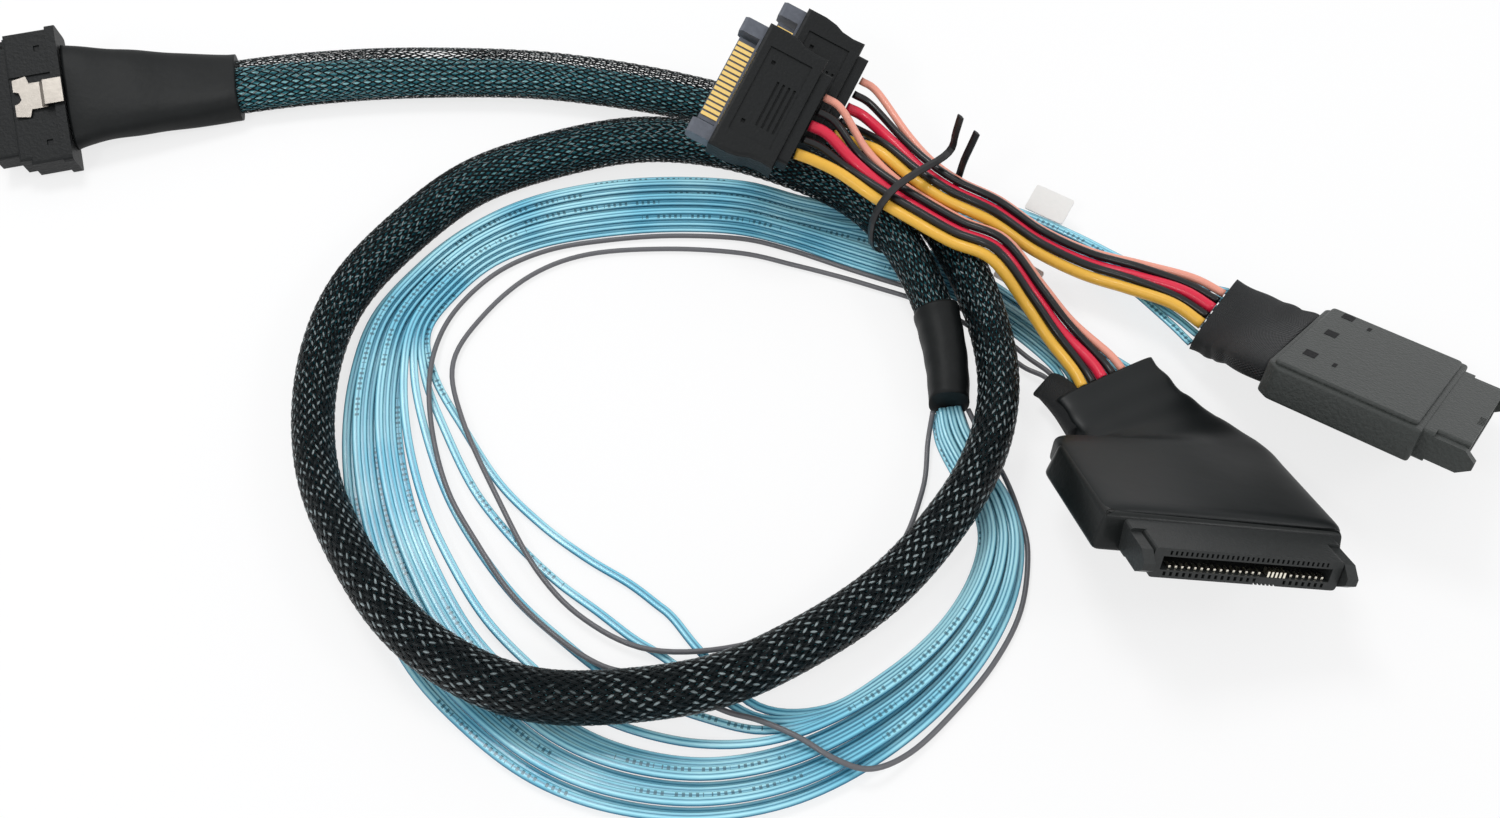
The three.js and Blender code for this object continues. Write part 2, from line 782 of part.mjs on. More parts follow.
// Power wires: five from each inlet, over both turns of the sleeve and down to a drive connector
const lowerPower = [
  [22, 47.2, 20.6, 4.6],
  [29, 41, 18.7, 3.6],
  [36, 35.4, 18.3, 3.3],
  [44, 29.4, 18.2, 3.3],
  [52.5, 24.6, 18, 3.2],
  [60.5, 18, 10.5, 3.2],
  [66, 11.4, 6.8, 3.6],
  approach(lowerTail, 5, 1.5, 4.6),
  approach(lowerTail, 0.5, 1.2, 5),
];
const rightPower = [
  [31, 54, 19.4, 4.2],
  [37, 46.6, 18.8, 3.4],
  [43.6, 40.6, 18.6, 3.2],
  [52.5, 35.8, 17.6, 3.2],
  [62.5, 32, 12, 3.2],
  [73, 28.2, 9, 3.4],
  [83, 23.6, 10, 3.8],
  approach(rightTail, 8, 1.9, 4.4),
  approach(rightTail, 0.5, 1.4, 5),
];
const powerWires = [
  ["yellow", thickWire],
  ["black_1", thinWire],
  ["red", thickWire],
  ["black_2", thinWire],
  ["orange", thinWire],
];

function powerLoom(name, from, route) {
  const rear = -inletLength - inletBossLength;
  const row = axisOf(from, 0);
  const spread = (powerExitPitch * (powerWires.length - 1)) / 2;
  const exits = [rear - seatGap - 0.1, rear - 5].map((y, k) => [
    ...spotOn(from, 0, y, 0).toArray(),
    spread * (1 - 0.08 * k),
    0,
    row,
  ]);
  powerWires.forEach(([colour, size], k) => {
    const knots = lane([...exits, ...route], powerWires.length, k, powerPitch, powerPitch, 2);
    const points = smooth(knots, 2 * (knots.length - 1) - 4);
    add(name + "_" + colour, cordAlong(points, size, size), paint[colour.split("_")[0]]);
  });
}

powerLoom("power_lower", inletPoseA, lowerPower);
powerLoom("power_right", inletPoseB, rightPower);

// Drive connectors
function driveHood() {
  const w = hoodWidth / 2;
  const step = w - hoodStepWidth;
  const rear = -hoodLength;
  const shape = outline([
    [-w, 0],
    [-w, rear + hoodStepLength],
    [-step, rear + hoodStepLength],
    [-step, rear],
    [step, rear],
    [step, rear + hoodStepLength],
    [w, rear + hoodStepLength],
    [w, 0],
  ]);
  const shell = plate(shape, hoodThick, -hoodThick / 2, hoodBevel);
  const under = -hoodThick / 2 - hoodPanel;
  const panel = plate(roundedRect(hoodWidth - 6, hoodLength - 5, 1.5), hoodPanel + 0.4, under, 0.2);
  panel.translate(0, -hoodLength / 2, 0);
  const cover = plate(roundedRect(hoodWidth - 8, hoodLength - 7, 2.5), hoodPanel + 0.4, hoodThick / 2 - 0.4, 0.2);
  cover.translate(0, -hoodLength / 2, 0);
  const windows = [-1, 0, 1].map((k) =>
    block(about(k * hoodWidth * 0.29, 3.2), about(rear + 6.4, 2), [under - 1, under + 0.9]),
  );
  const nicks = [-1, 1].map((k) =>
    block(about(k * hoodWidth * 0.15, 1.8), about(rear + 11.5, 0.8), [under - 1, under + 0.7]),
  );
  const pocket = block(
    about(0, flangeWidth + 2 * seatGap),
    [-pocketDepth, 1],
    about(0, noseThick + 2 * seatGap),
  );
  return geometryOf(cut(join(shell, panel, cover), ...windows, ...nicks, pocket));
}

// Receptacle nose: a slotted mouth between two pointed guide arms on one flange
function driveReceptacle() {
  const base = -pocketDepth + seatGap;
  const flange = bar(roundedRect(flangeWidth, noseThick, 0.8), base, flangeLength);
  const body = bar(roundedRect(noseWidth, noseThick, 0.8), base, noseLength);
  const arm = (side) => {
    const outer = (side * flangeWidth) / 2;
    const inner = outer - side * armWidth;
    const tip = armThick / 2;
    return cheek(
      [
        [base + 0.2, -tip],
        [armLength - 2.4, -tip],
        [armLength, -tip * 0.3],
        [armLength, tip * 0.3],
        [armLength - 2.4, tip],
        [base + 0.2, tip],
      ],
      Math.min(inner, outer),
      Math.max(inner, outer),
    );
  };
  const mouth = block(
    about(0, cavityWidth),
    [noseLength - cavityDepth, noseLength + 1],
    about(0, cavityThick),
  );
  const face = [noseLength - slotDepth, noseLength + 1];
  const upper = [cavityThick / 2 + 0.35, cavityThick / 2 + 0.35 + slotHeight];
  const lower = [-upper[1], -upper[0]];
  const edge = [-noseThick / 2 - 1, -noseThick / 2 + 0.5];
  const slots = [];
  for (let i = 0; i < topSlots; i++) {
    const x = (i - (topSlots - 1) / 2) * topSlotPitch;
    slots.push(block(about(x, topSlotWidth), face, upper));
  }
  const first = -(cavityWidth / 2) + 1.1;
  for (let i = 0; i < signalSlots; i++) {
    slots.push(block(about(first + i * contactPitch, lowSlotWidth), face, lower));
  }
  for (let i = 0; i < powerContacts; i++) {
    slots.push(block(about(-first - i * contactPitch, lowSlotWidth), face, lower));
  }
  const middle = first + (signalSlots + 0.4) * contactPitch;
  for (let i = 0; i < sideSlots; i++) {
    slots.push(block(about(middle + i * sideSlotPitch, topSlotWidth), face, edge));
  }
  return geometryOf(cut(join(flange, body, arm(-1), arm(1)), mouth, ...slots));
}

// Cloth tape from the hood's rear face to where the strands and wires come out
function tapeWrap(group, tail) {
  const root = spotOn(group, 0, -hoodLength - seatGap, 0);
  const rootAlong = axisOf(group, 1).negate();
  const along = tail.out.clone().normalize();
  const curve = new THREE.CubicBezierCurve3(
    root,
    root.clone().addScaledVector(rootAlong, 9),
    tail.at.clone().addScaledVector(along, -9),
    tail.at,
  );
  const shares = [0, 0.18, 0.36, 0.75, 0.8, 1];
  const points = shares.map((share) => curve.getPoint(share));
  const flat = new THREE.Vector3(-along.y, along.x, 0);
  const across = shares.map((share) => axisOf(group, 0).lerp(flat, share).normalize());
  const widths = [tapeRootWidth, tapeRootWidth - 6, tapeTailWidth + 5, tapeTailWidth + 1, tapeTailWidth, tapeTailWidth];
  const sizes = shares.map((share, k) => [
    widths[k],
    THREE.MathUtils.lerp(hoodThick - 0.4, tapeTailThick, share),
  ]);
  return carried(points, sizes, across, 16, 0.5, [rootAlong, along]);
}

function driveConnector(name, group, windowsUp, tail) {
  const body = new THREE.Group();
  body.rotation.y = windowsUp ? Math.PI : 0;
  group.add(body);
  add(name + "_hood", driveHood(), paint.gloss, body);
  add(name + "_receptacle", driveReceptacle(), paint.dark, body);
  add(name + "_tape", tapeWrap(group, tail), paint.black);
}

driveConnector("drive_lower", lowerPose, false, lowerTail);
driveConnector("drive_right", rightPose, true, rightTail);

// Twist tie: along, across and up from the point where the two turns of the sleeve lie side by side
const tieAt = new THREE.Vector3(34.6, 39.6, 0);
const tieAlong = new THREE.Vector3(0.58, -0.815, 0).normalize();
const tieAcross = new THREE.Vector3(-tieAlong.y, tieAlong.x, 0);
const tieRoute = [
  [-1.3, 12.6, 34],
  [-1.3, 11.8, 29],
  [-1.3, 11.4, 25],
  [-1.25, 8.5, 23.4],
  [-1.1, 2, 23.6],
  [-0.9, -5, 22.6],
  [-0.6, -9.6, 18],
  [-0.4, -10.6, 12],
  [-0.2, -9.4, 6.4],
  [0, -5.2, 3.6],
  [0.2, 4, 3.6],
  [0.4, 9.6, 6],
  [0.8, 11.6, 11],
  [1.1, 12.4, 17],
  [1.3, 13, 22],
  [1.3, 14.4, 26],
  [1.3, 15.6, 29.4],
];

function twistTie() {
  const points = smooth(
    tieRoute.map(([s, a, z]) =>
      tieAt.clone().addScaledVector(tieAlong, s).addScaledVector(tieAcross, a).setZ(z),
    ),
    40,
  );
  const sizes = points.map(() => [tieWidth, tieThick]);
  return carried(points, sizes, points.map(() => tieAlong), 6);
}

add("twist_tie", twistTie(), paint.black);

// Flag labels beside the outermost strands
function flag([x, y, z], turn, lift) {
  const leaf = plate(roundedRect(flagLength, flagWidth, 0.6), flagThick, -flagThick / 2);
  leaf.rotateX(THREE.MathUtils.degToRad(lift));
  leaf.rotateZ(THREE.MathUtils.degToRad(turn));
  return leaf.translate(x, y, z);
}

add("flag_label_1", flag([67.5, 47.8, 5.4], -32, 20), paint.paper);
add("flag_label_2", flag([58.8, 28.4, 4.6], -38, 24), paint.paper);

// The origin is under the middle of the whole lay-out, on the floor
harness.position.set(12.8, -1.3, 0.15);

export default harness;
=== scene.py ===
"""Drive breakout cable harness laid in a loop on a white table.

Lengths are written in millimetres in the harness's own lay-out frame and turned to metres in shift().
"""
import math

import bpy
import numpy as np
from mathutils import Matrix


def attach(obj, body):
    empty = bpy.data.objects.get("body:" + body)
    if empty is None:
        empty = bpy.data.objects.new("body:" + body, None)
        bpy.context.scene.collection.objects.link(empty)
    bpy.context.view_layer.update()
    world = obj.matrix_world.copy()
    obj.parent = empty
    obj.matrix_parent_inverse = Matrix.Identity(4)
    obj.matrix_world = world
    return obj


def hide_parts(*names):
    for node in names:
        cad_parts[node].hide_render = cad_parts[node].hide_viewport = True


MM = 0.001
LAYOUT_SHIFT = np.array([12.8, -1.3, 0.15])

# Camera, fitted to the connectors' known sizes
CAMERA_EYE = (-0.8, -190.0, 286.0)
CAMERA_DOWN = 57.0
CAMERA_LENS = 38.4

# Sleeve
SLEEVE_STEPS = 900
SLEEVE_EASE = 7.0
BRAID_CARRIERS = 30
BRAID_PITCH = 80.0
# Distance along the sleeve and the ribbons' width there: the braid is stretched open near the plug
BRAID_RIBBON = ((0, 0.38), (140, 0.4), (200, 0.56), (270, 0.82), (410, 0.82), (470, 0.6), (530, 0.46),
                (651, 0.5))
BRAID_LIFT = 0.2
BRAID_SKIN = 0.2
RIBBON_SINK = 0.1
RIBBON_CROWN = 0.13
RIBBON_FILAMENTS = 3
# Crossings in one float, over and under, and the crossing at which each hand's carriers stand highest
FLOAT_CROSSINGS = 4
FLOAT_MIDDLES = {1: 0.5, -1: 2.5}
CORE_INSET = 0.7
CORE_STRANDS = 20
# Near the plug the strands lie to one side under the open braid, and the core is narrower and a little
# lower by these shares of it
CORE_ASIDE = ((0, 0.7), (30, 1.3), (130, 1.3), (190, 0))
CORE_NARROWS = (1, 0.25)
# Painted highlight on the crown of each float: half its length in floats, half its width in ribbons, and
# its colour
CROWN_REACH = 0.12
CROWN_WIDTH = 0.33
CROWN_HIGHLIGHT_COLOUR = (0.50, 0.60, 0.62, 1)

# Strands and wires
STRAND_COUNT = 14
STRAND_WIDTH = 1.75
STRAND_THICK = 0.95
STRAND_PITCH = 1.75
STRAND_RISE = 1.05
GREY_WIRE = 1.1
THICK_WIRE = 2.5
THIN_WIRE = 1.75
POWER_PITCH = 2.2
POWER_EXIT_PITCH = 3.6
STRAND_ROWS = 4
POWER_ROWS = 2
STEPS_PER_KNOT = 7
# Plain ticks printed on the strands: pitch and printed share of the groups, words and ticks, half the
# width of their row, and how far each strand's print is set off from the last one's
PRINT_GROUPS = (190.0, 0.17)
PRINT_WORDS = (7.1, 0.8)
PRINT_TICKS = (1.3, 0.45)
PRINT_BAND = 0.09
PRINT_OFFSET = 47.0

# Patches of noise, with scale, detail, gain, base and least value: the long pale patches of the strands'
# painted highlight, and how bright the painted highlight is on each float and each stretch of the braid
STRAND_HIGHLIGHT_PATCHES = (45.0, 2.0, 2.8, -0.7, 0.35)
FLOAT_HIGHLIGHT_PATCHES = (330.0, 1.0, 7.0, -2.9, 0.03)
STRETCH_HIGHLIGHT_PATCHES = (28.0, 1.0, 4.0, -1.0, 0.25)

# Light: the room as it falls on the pieces, how much of the table's white is its own where it is seen,
# then each lamp's place in metres, tilt in degrees, size in metres and power in watts
ROOM_LIGHT = 0.66
TABLE_OWN_WHITE = 0.75
LAMPS = (
    ("ceiling_panel", (-0.25, 0.35, 0.9), (-20, -15, 0), 0.3, 3.0),
    ("window", (0.7, -0.2, 0.7), (10, 45, 0), 0.2, 1.0),
    ("near_lamp", (-0.35, -0.45, 0.7), (35, -25, 0), 0.12, 0.9),
)

# Sizes shared with the solid parts
HOST_LENGTH = 12.0
SEAT_GAP = 0.3
INLET_REAR = 17.3
CONTACT_PITCH = 1.27
CONTACT_COUNT = 15
HOOD_WIDTH = 48.0
HOOD_LENGTH = 31.0
HOOD_THICK = 7.0
HOOD_BOTTOM = -3.5
TAPE_TAIL = 24.0
TAPE_TAIL_THICK = 5.4
BOOT_ROOT = (26.5, 6.8)
BEND_HANDLE = 9.0

# Lower hood and the tape's skin over it
HOOD_FLARE = 2.4
HOOD_LEAN = 1.4
SKIN_HEIGHT = 7.2
SKIN_MIDDLE = 1.3
SKIN_ASIDE = 0.4
SKIN_FRONT = 2.2

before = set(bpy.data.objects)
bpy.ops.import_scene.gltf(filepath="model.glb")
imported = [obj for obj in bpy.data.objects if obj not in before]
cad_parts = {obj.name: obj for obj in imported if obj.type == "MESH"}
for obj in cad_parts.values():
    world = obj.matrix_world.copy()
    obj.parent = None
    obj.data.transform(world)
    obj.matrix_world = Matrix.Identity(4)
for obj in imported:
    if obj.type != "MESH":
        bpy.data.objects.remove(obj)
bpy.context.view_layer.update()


# Camera
def look_down():
    """The camera: its eye over the near edge of the table, tilted down at the loop."""
    data = bpy.data.cameras.new("camera")
    data.lens = CAMERA_LENS
    data.sensor_width = 36.0
    data.clip_start = 0.01
    camera = bpy.data.objects.new("camera", data)
    bpy.context.scene.collection.objects.link(camera)
    camera.location = tuple((np.array(CAMERA_EYE) + LAYOUT_SHIFT) * MM)
    camera.rotation_euler = (math.radians(90.0 - CAMERA_DOWN), 0.0, 0.0)
    bpy.context.scene.camera = camera


look_down()


# Small vector tools
def unit(v):
    """Vectors divided by their own lengths."""
    v = np.asarray(v, float)
    return v / np.linalg.norm(v, axis=-1, keepdims=True)


def smooth(rows, steps):
    """Points on the curve through rows: cubic pieces whose slope at a row is half the step between its
    neighbours, with the end rows mirrored outward."""
    rows = np.asarray(rows, float)
    padded = np.vstack([2 * rows[0] - rows[1], rows, 2 * rows[-1] - rows[-2]])
    t = np.linspace(0, len(rows) - 1, steps + 1)
    k = np.minimum(t.astype(int), len(rows) - 2)
    u = (t - k)[:, None]
    p0, p1, p2, p3 = (padded[k + i] for i in range(4))
    a, b = (p2 - p0) / 2, (p3 - p1) / 2
    return (2 * p1 - 2 * p2 + a + b) * u**3 + (3 * p2 - 3 * p1 - 2 * a - b) * u**2 + a * u + p1


def resampled(points, steps):
    """The same line with its points spread evenly along its length."""
    run = run_length(points[:, :3])
    even = np.linspace(0, run[-1], steps + 1)
    return np.column_stack([np.interp(even, run, column) for column in points.T])


def line_frame(points, across=None, facing=None):
    """Side and up vectors at each point. The side is level unless across vectors are given, and facing
    turns the two end sections square to given directions."""
    along = np.gradient(points, axis=0)
    if facing is not None:
        along[0], along[-1] = facing
    along = unit(along)
    if across is None:
        across = np.column_stack([-along[:, 1], along[:, 0], np.zeros(len(points))])
    side = unit(across - along * np.sum(across * along, axis=1, keepdims=True))
    return side, np.cross(along, side)


def run_length(points):
    """Distance along a line at each of its points."""
    return np.concatenate([[0], np.cumsum(np.linalg.norm(np.diff(points, axis=0), axis=1))])


# Meshes
def shift(points):
    """Millimetres in the lay-out frame to metres in the part's frame."""
    return (np.asarray(points, float) + LAYOUT_SHIFT) * MM


def grid_faces(rows, columns, closed=True):
    """Four-sided faces between neighbouring points of a grid, closed round its columns if asked."""
    i = np.arange(rows - 1)[:, None]
    j = np.arange(columns if closed else columns - 1)[None, :]
    after = (j + 1) % columns
    return np.stack(
        [i * columns + j, i * columns + after, (i + 1) * columns + after, (i + 1) * columns + j],
        axis=-1,
    ).reshape(-1, 4)


def end_caps(rows, columns):
    """A grid's first row, turned round, and its last row, as one face each."""
    last = (rows - 1) * columns
    return [list(range(columns))[::-1], [last + c for c in range(columns)]]


def grid_uv(u, v):
    """Corner coordinates for grid_faces: u grows along the rows, v round the columns."""
    i = np.arange(len(u) - 1)[:, None]
    j = np.arange(len(v) - 1)[None, :]
    one = np.ones_like(i * j)
    corners = [(u[i] * one, v[j] * one), (u[i] * one, v[j + 1] * one),
               (u[i + 1] * one, v[j + 1] * one), (u[i + 1] * one, v[j] * one)]
    return np.stack([np.stack(c, axis=-1) for c in corners], axis=2).reshape(-1, 2)


def make_mesh(name, points, faces, uv, material, caps=(), flat=False):
    """A mesh object from whole arrays, with end caps as single flat faces."""
    mesh = bpy.data.meshes.new(name)
    mesh.vertices.add(len(points))
    mesh.vertices.foreach_set("co", shift(points).astype(np.float32).ravel())
    loops = np.concatenate([faces.ravel(), *[np.asarray(c) for c in caps]]).astype(np.int32)
    sizes = np.concatenate([np.full(len(faces), faces.shape[1]), [len(c) for c in caps]]).astype(int)
    mesh.loops.add(len(loops))
    mesh.loops.foreach_set("vertex_index", loops)
    mesh.polygons.add(len(sizes))
    mesh.polygons.foreach_set("loop_start", np.concatenate([[0], np.cumsum(sizes)[:-1]]).astype(np.int32))
    mesh.polygons.foreach_set("loop_total", sizes.astype(np.int32))
    mesh.update(calc_edges=True)
    mesh.validate()
    shade = (np.arange(len(sizes)) < len(faces)) & (not flat)
    mesh.polygons.foreach_set("use_smooth", shade)
    if uv is not None:
        layer = mesh.uv_layers.new(name="run")
        whole = np.zeros((len(loops), 2), np.float32)
        whole[:len(uv)] = uv
        layer.data.foreach_set("uv", whole.ravel())
    mesh.materials.append(material)
    piece = bpy.data.objects.new(name, mesh)
    bpy.context.scene.collection.objects.link(piece)
    return piece


def swept(name, points, sizes, profile, material, across=None, facing=None, start=0.0):
    """A closed tube: each point of the line carries the profile, stretched to its width and height. The
    UV's u is the distance along the tube, counted from start."""
    side, up = line_frame(points, across, facing)
    rings = (
        points[:, None, :]
        + side[:, None, :] * (profile[None, :, 0, None] * sizes[:, None, 0, None] / 2)
        + up[:, None, :] * (profile[None, :, 1, None] * sizes[:, None, 1, None] / 2)
    )
    rows, columns = rings.shape[:2]
    uv = grid_uv(start + run_length(points), np.linspace(0, 1, columns + 1))
    return make_mesh(name, rings.reshape(-1, 3), grid_faces(rows, columns), uv, material,
                     end_caps(rows, columns))


def oval(sides, corner=1.0):
    """A ring with its corners rounded like an oval, or filled toward a rectangle as corner drops."""
    turn = (np.arange(sides) + 0.5) / sides * 2 * math.pi
    c, s = np.cos(turn), np.sin(turn)
    return np.column_stack([np.sign(c) * np.abs(c) ** corner, np.sign(s) * np.abs(s) ** corner])


def twin(sides=16):
    """Section of a flat twin cable: two round cores side by side under one skin."""
    turn = (np.arange(sides) + 0.5) / sides * 2 * math.pi
    x, y = np.cos(turn), np.sin(turn)
    waist = 1 - 0.22 * np.exp(-(x / 0.3) ** 2)
    return np.column_stack([x, np.sign(y) * np.abs(y) ** 0.75 * waist])


# Shader tools
class Shader:
    """A material's node tree with short ways to add and join nodes."""

    def __init__(self, name, **sockets):
        self.material = bpy.data.materials.new(name)
        self.material.use_nodes = True
        self.nodes = self.material.node_tree.nodes
        self.links = self.material.node_tree.links
        self.surface = self.nodes["Principled BSDF"]
        for socket, value in sockets.items():
            self.surface.inputs[socket.replace("_", " ")].default_value = value

    def add(self, kind, **settings):
        node = self.nodes.new(kind)
        for key, value in settings.items():
            setattr(node, key, value)
        return node

    def join(self, source, target):
        self.links.new(source, target)

    def feed(self, node, slot, value):
        """Joins another node's socket to an input, or sets the input to a plain value."""
        if hasattr(value, "links"):
            self.join(value, node.inputs[slot])
        else:
            node.inputs[slot].default_value = value

    def math(self, operation, a, b=0.0, c=0.0):
        """The outcome of one operation on sockets or numbers."""
        node = self.add("ShaderNodeMath", operation=operation)
        for slot, value in enumerate((a, b, c)):
            self.feed(node, slot, value)
        return node.outputs[0]

    def patches(self, scale, detail, gain, base, least):
        """Soft noise times the gain plus the base, held between the least and one."""
        value = self.math("MULTIPLY_ADD", self.noise(scale, detail), gain, base)
        return self.math("MINIMUM", self.math("MAXIMUM", value, least), 1.0)

    def away(self, value, middle):
        """How far the value is from the middle, either way."""
        return self.math("ABSOLUTE", self.math("SUBTRACT", value, middle))

    def repeats(self, run, pitch, share):
        """One on the first share of each pitch along the run, and nought on the rest."""
        return self.math("LESS_THAN", self.math("FRACT", self.math("DIVIDE", run, pitch)), share)

    def mix(self, share, dark, light):
        """The dark colour where the share is nought and the light one where it is one."""
        node = self.add("ShaderNodeMix", data_type="RGBA")
        for slot, value in ((0, share), (6, dark), (7, light)):
            self.feed(node, slot, value)
        return node.outputs[2]

    def paint(self, colour):
        """Makes a socket the surface's base colour."""
        self.join(colour, self.surface.inputs["Base Color"])

    def noise(self, scale, detail):
        """Soft noise over the piece's own coordinates."""
        node = self.add("ShaderNodeTexNoise")
        node.inputs["Scale"].default_value = scale
        node.inputs["Detail"].default_value = detail
        self.join(self.add("ShaderNodeTexCoord").outputs["Object"], node.inputs["Vector"])
        return node.outputs["Fac"]

    def uv(self):
        """The piece's two surface coordinates, along it and round it."""
        node = self.add("ShaderNodeUVMap", uv_map="run")
        parts = self.add("ShaderNodeSeparateXYZ")
        self.join(node.outputs[0], parts.inputs[0])
        return parts.outputs[0], parts.outputs[1]

    def bump(self, height, strength, distance):
        """Leans the surface down the height's slope."""
        node = self.add("ShaderNodeBump")
        node.inputs["Strength"].default_value = strength
        node.inputs["Distance"].default_value = distance
        self.join(height, node.inputs["Height"])
        self.join(node.outputs[0], self.surface.inputs["Normal"])

    def grain(self, scale, strength):
        """Places the shared grain with its own values, leans the surface by it and gives its height."""
        node = self.add("ShaderNodeGroup", node_tree=GRAIN)
        node.inputs["Scale"].default_value = scale
        node.inputs["Strength"].default_value = strength
        self.join(node.outputs["Normal"], self.surface.inputs["Normal"])
        return node.outputs["Height"]


def grain_group():
    """Node group of a fine uneven surface: Height is soft noise over the piece's own coordinates, and
    Normal leans down the height's slope."""
    group = bpy.data.node_groups.new("grain", "ShaderNodeTree")
    for name, value in (("Scale", 1000.0), ("Strength", 0.3), ("Detail", 3.0), ("Distance", 0.0003)):
        socket = group.interface.new_socket(name, in_out="INPUT", socket_type="NodeSocketFloat")
        socket.default_value = value
    group.interface.new_socket("Height", in_out="OUTPUT", socket_type="NodeSocketFloat")
    group.interface.new_socket("Normal", in_out="OUTPUT", socket_type="NodeSocketVector")
    given = group.nodes.new("NodeGroupInput")
    result = group.nodes.new("NodeGroupOutput")
    place = group.nodes.new("ShaderNodeTexCoord")
    noise = group.nodes.new("ShaderNodeTexNoise")
    slope = group.nodes.new("ShaderNodeBump")
    for source, target in (
        (place.outputs["Object"], noise.inputs["Vector"]),
        (given.outputs["Scale"], noise.inputs["Scale"]),
        (given.outputs["Detail"], noise.inputs["Detail"]),
        (given.outputs["Strength"], slope.inputs["Strength"]),
        (given.outputs["Distance"], slope.inputs["Distance"]),
        (noise.outputs["Fac"], slope.inputs["Height"]),
        (noise.outputs["Fac"], result.inputs["Height"]),
        (slope.outputs["Normal"], result.inputs["Normal"]),
    ):
        group.links.new(source, target)
    return group


GRAIN = grain_group()


def plain(name, colour, roughness, metallic=0.0, coat=0.0, specular=0.5):
    """The shader of one even colour."""
    return Shader(name, Base_Color=(*colour, 1), Roughness=roughness, Metallic=metallic,
                  Coat_Weight=coat, Specular_IOR_Level=specular)


def grained(name, colour, roughness, scale, strength, coat=0.0, specular=0.3, metallic=0.0, uneven=0.3):
    """A fine even grain, lighter on its tops and darker in its pits by the uneven share."""
    shader = plain(name, colour, roughness, metallic, coat, specular)
    height = shader.grain(scale, strength)
    dark = (*((1 - uneven) * c for c in colour), 1)
    light = (*((1 + uneven) * c for c in colour), 1)
    shader.paint(shader.mix(height, dark, light))
    return shader.material


def jacket(name, colour, roughness=0.3):
    """Extruded wire jacket: an even gloss with a very slight unevenness."""
    return grained(name, colour, roughness, 900.0, 0.1, coat=0.12, uneven=0.06)


def strand_jacket():
    """Clear film over two blue cores: a painted highlight along each core, painted shade in deep blue at
    the waist and edges, more painted highlight in long pale patches, and small dark ticks printed here and
    there along the middle."""
    shader = plain("strand_film", (0.3, 0.6, 0.8), 0.22, coat=0.12, specular=0.35)
    shaded_edge_blue, lit_core_blue = (0.004, 0.13, 0.25, 1), (0.10, 0.60, 0.86, 1)
    highlight_blue, ink_blue = (0.52, 0.91, 0.98, 1), (0.02, 0.07, 0.10, 1)
    top, ink_depth = 0.25, 0.7
    u, v = shader.uv()
    turn = shader.math("MULTIPLY", v, 2 * math.pi)
    x = shader.math("ABSOLUTE", shader.math("COSINE", turn))
    # Painted shade at the waist and edges, painted highlight along each core
    core = shader.math("MULTIPLY", shader.math("PINGPONG", x, 0.5), 2.0)
    lit_and_shaded_flank = shader.mix(core, shaded_edge_blue, lit_core_blue)
    crest = shader.math("POWER", core, 0.8)
    # Painted highlight in long pale patches on each core's crest
    crest_highlight = shader.mix(shader.math("MULTIPLY", crest, shader.patches(*STRAND_HIGHLIGHT_PATCHES)), lit_and_shaded_flank, highlight_blue)
    ticks = shader.math("MULTIPLY", shader.repeats(u, *PRINT_GROUPS), shader.repeats(u, *PRINT_TICKS))
    row = shader.math("LESS_THAN", shader.away(v, top), PRINT_BAND)
    words = shader.math("MULTIPLY", row, shader.repeats(u, *PRINT_WORDS))
    ink = shader.math("MULTIPLY", ticks, words)
    shader.paint(shader.mix(shader.math("MULTIPLY", ink, ink_depth), crest_highlight, ink_blue))
    return shader.material


def braid_filament():
    """Black monofilaments lying side by side in each ribbon of the braid. The UV's u counts whole floats,
    with a float's crown at each whole number. There an oval painted highlight sits, brighter on some floats
    than on others and on some stretches of the sleeve than on the next."""
    shader = plain("braid_filament", (0.004, 0.005, 0.006), 0.35, specular=0.2)
    filament_between_highlights = (0.002, 0.006, 0.008, 1)
    u, v = shader.uv()
    turn = shader.math("MULTIPLY", v, RIBBON_FILAMENTS * math.pi)
    shader.bump(shader.math("ABSOLUTE", shader.math("SINE", turn)), 0.9, 0.0004)
    along = shader.math("MULTIPLY", shader.math("PINGPONG", u, 0.5), 1 / CROWN_REACH)
    aside = shader.math("MULTIPLY", shader.away(v, 0.5), 1 / CROWN_WIDTH)
    reach = shader.math("ADD", shader.math("MULTIPLY", along, along), shader.math("MULTIPLY", aside, aside))
    crown = shader.math("MAXIMUM", shader.math("SUBTRACT", 1.0, reach), 0.0)
    uneven = shader.math("MULTIPLY", shader.patches(*FLOAT_HIGHLIGHT_PATCHES), shader.patches(*STRETCH_HIGHLIGHT_PATCHES))
    # Painted highlight: the crown of each float is mixed toward a pale colour, scaled by two noise patches
    crown_highlight = shader.math("MULTIPLY", shader.math("POWER", crown, 0.3), uneven)
    shader.paint(shader.mix(crown_highlight, filament_between_highlights, CROWN_HIGHLIGHT_COLOUR))
    return shader.material


def core_bundle():
    """Blue strands packed side by side under the braid, wandering a little from side to side, with a
    painted highlight on each strand's crest and painted shade in the grooves between them.
    """
    shader = plain("core_bundle", (0.05, 0.25, 0.35), 0.35, specular=0.3)
    shaded_groove, strand, highlight_cyan = (0.015, 0.16, 0.21, 1), (0.10, 0.62, 0.72, 1), (0.55, 0.92, 0.97, 1)
    wander_scale, wander = 30.0, 0.12
    round_it = shader.uv()[1]
    drift = shader.math("MULTIPLY_ADD", shader.noise(wander_scale, 1.0), wander, round_it)
    wave = shader.math("SINE", shader.math("MULTIPLY", drift, 2 * math.pi * CORE_STRANDS))
    crest = shader.math("MULTIPLY_ADD", wave, 0.5, 0.5)
    shader.bump(crest, 1.0, 0.0006)
    # Painted highlight on each strand's crest; the grooves between strands carry painted shade
    strand_crest_highlight = shader.math("MULTIPLY", shader.math("POWER", crest, 3.0), 0.8)
    shader.paint(shader.mix(strand_crest_highlight, shader.mix(crest, shaded_groove, strand), highlight_cyan))
    return shader.material


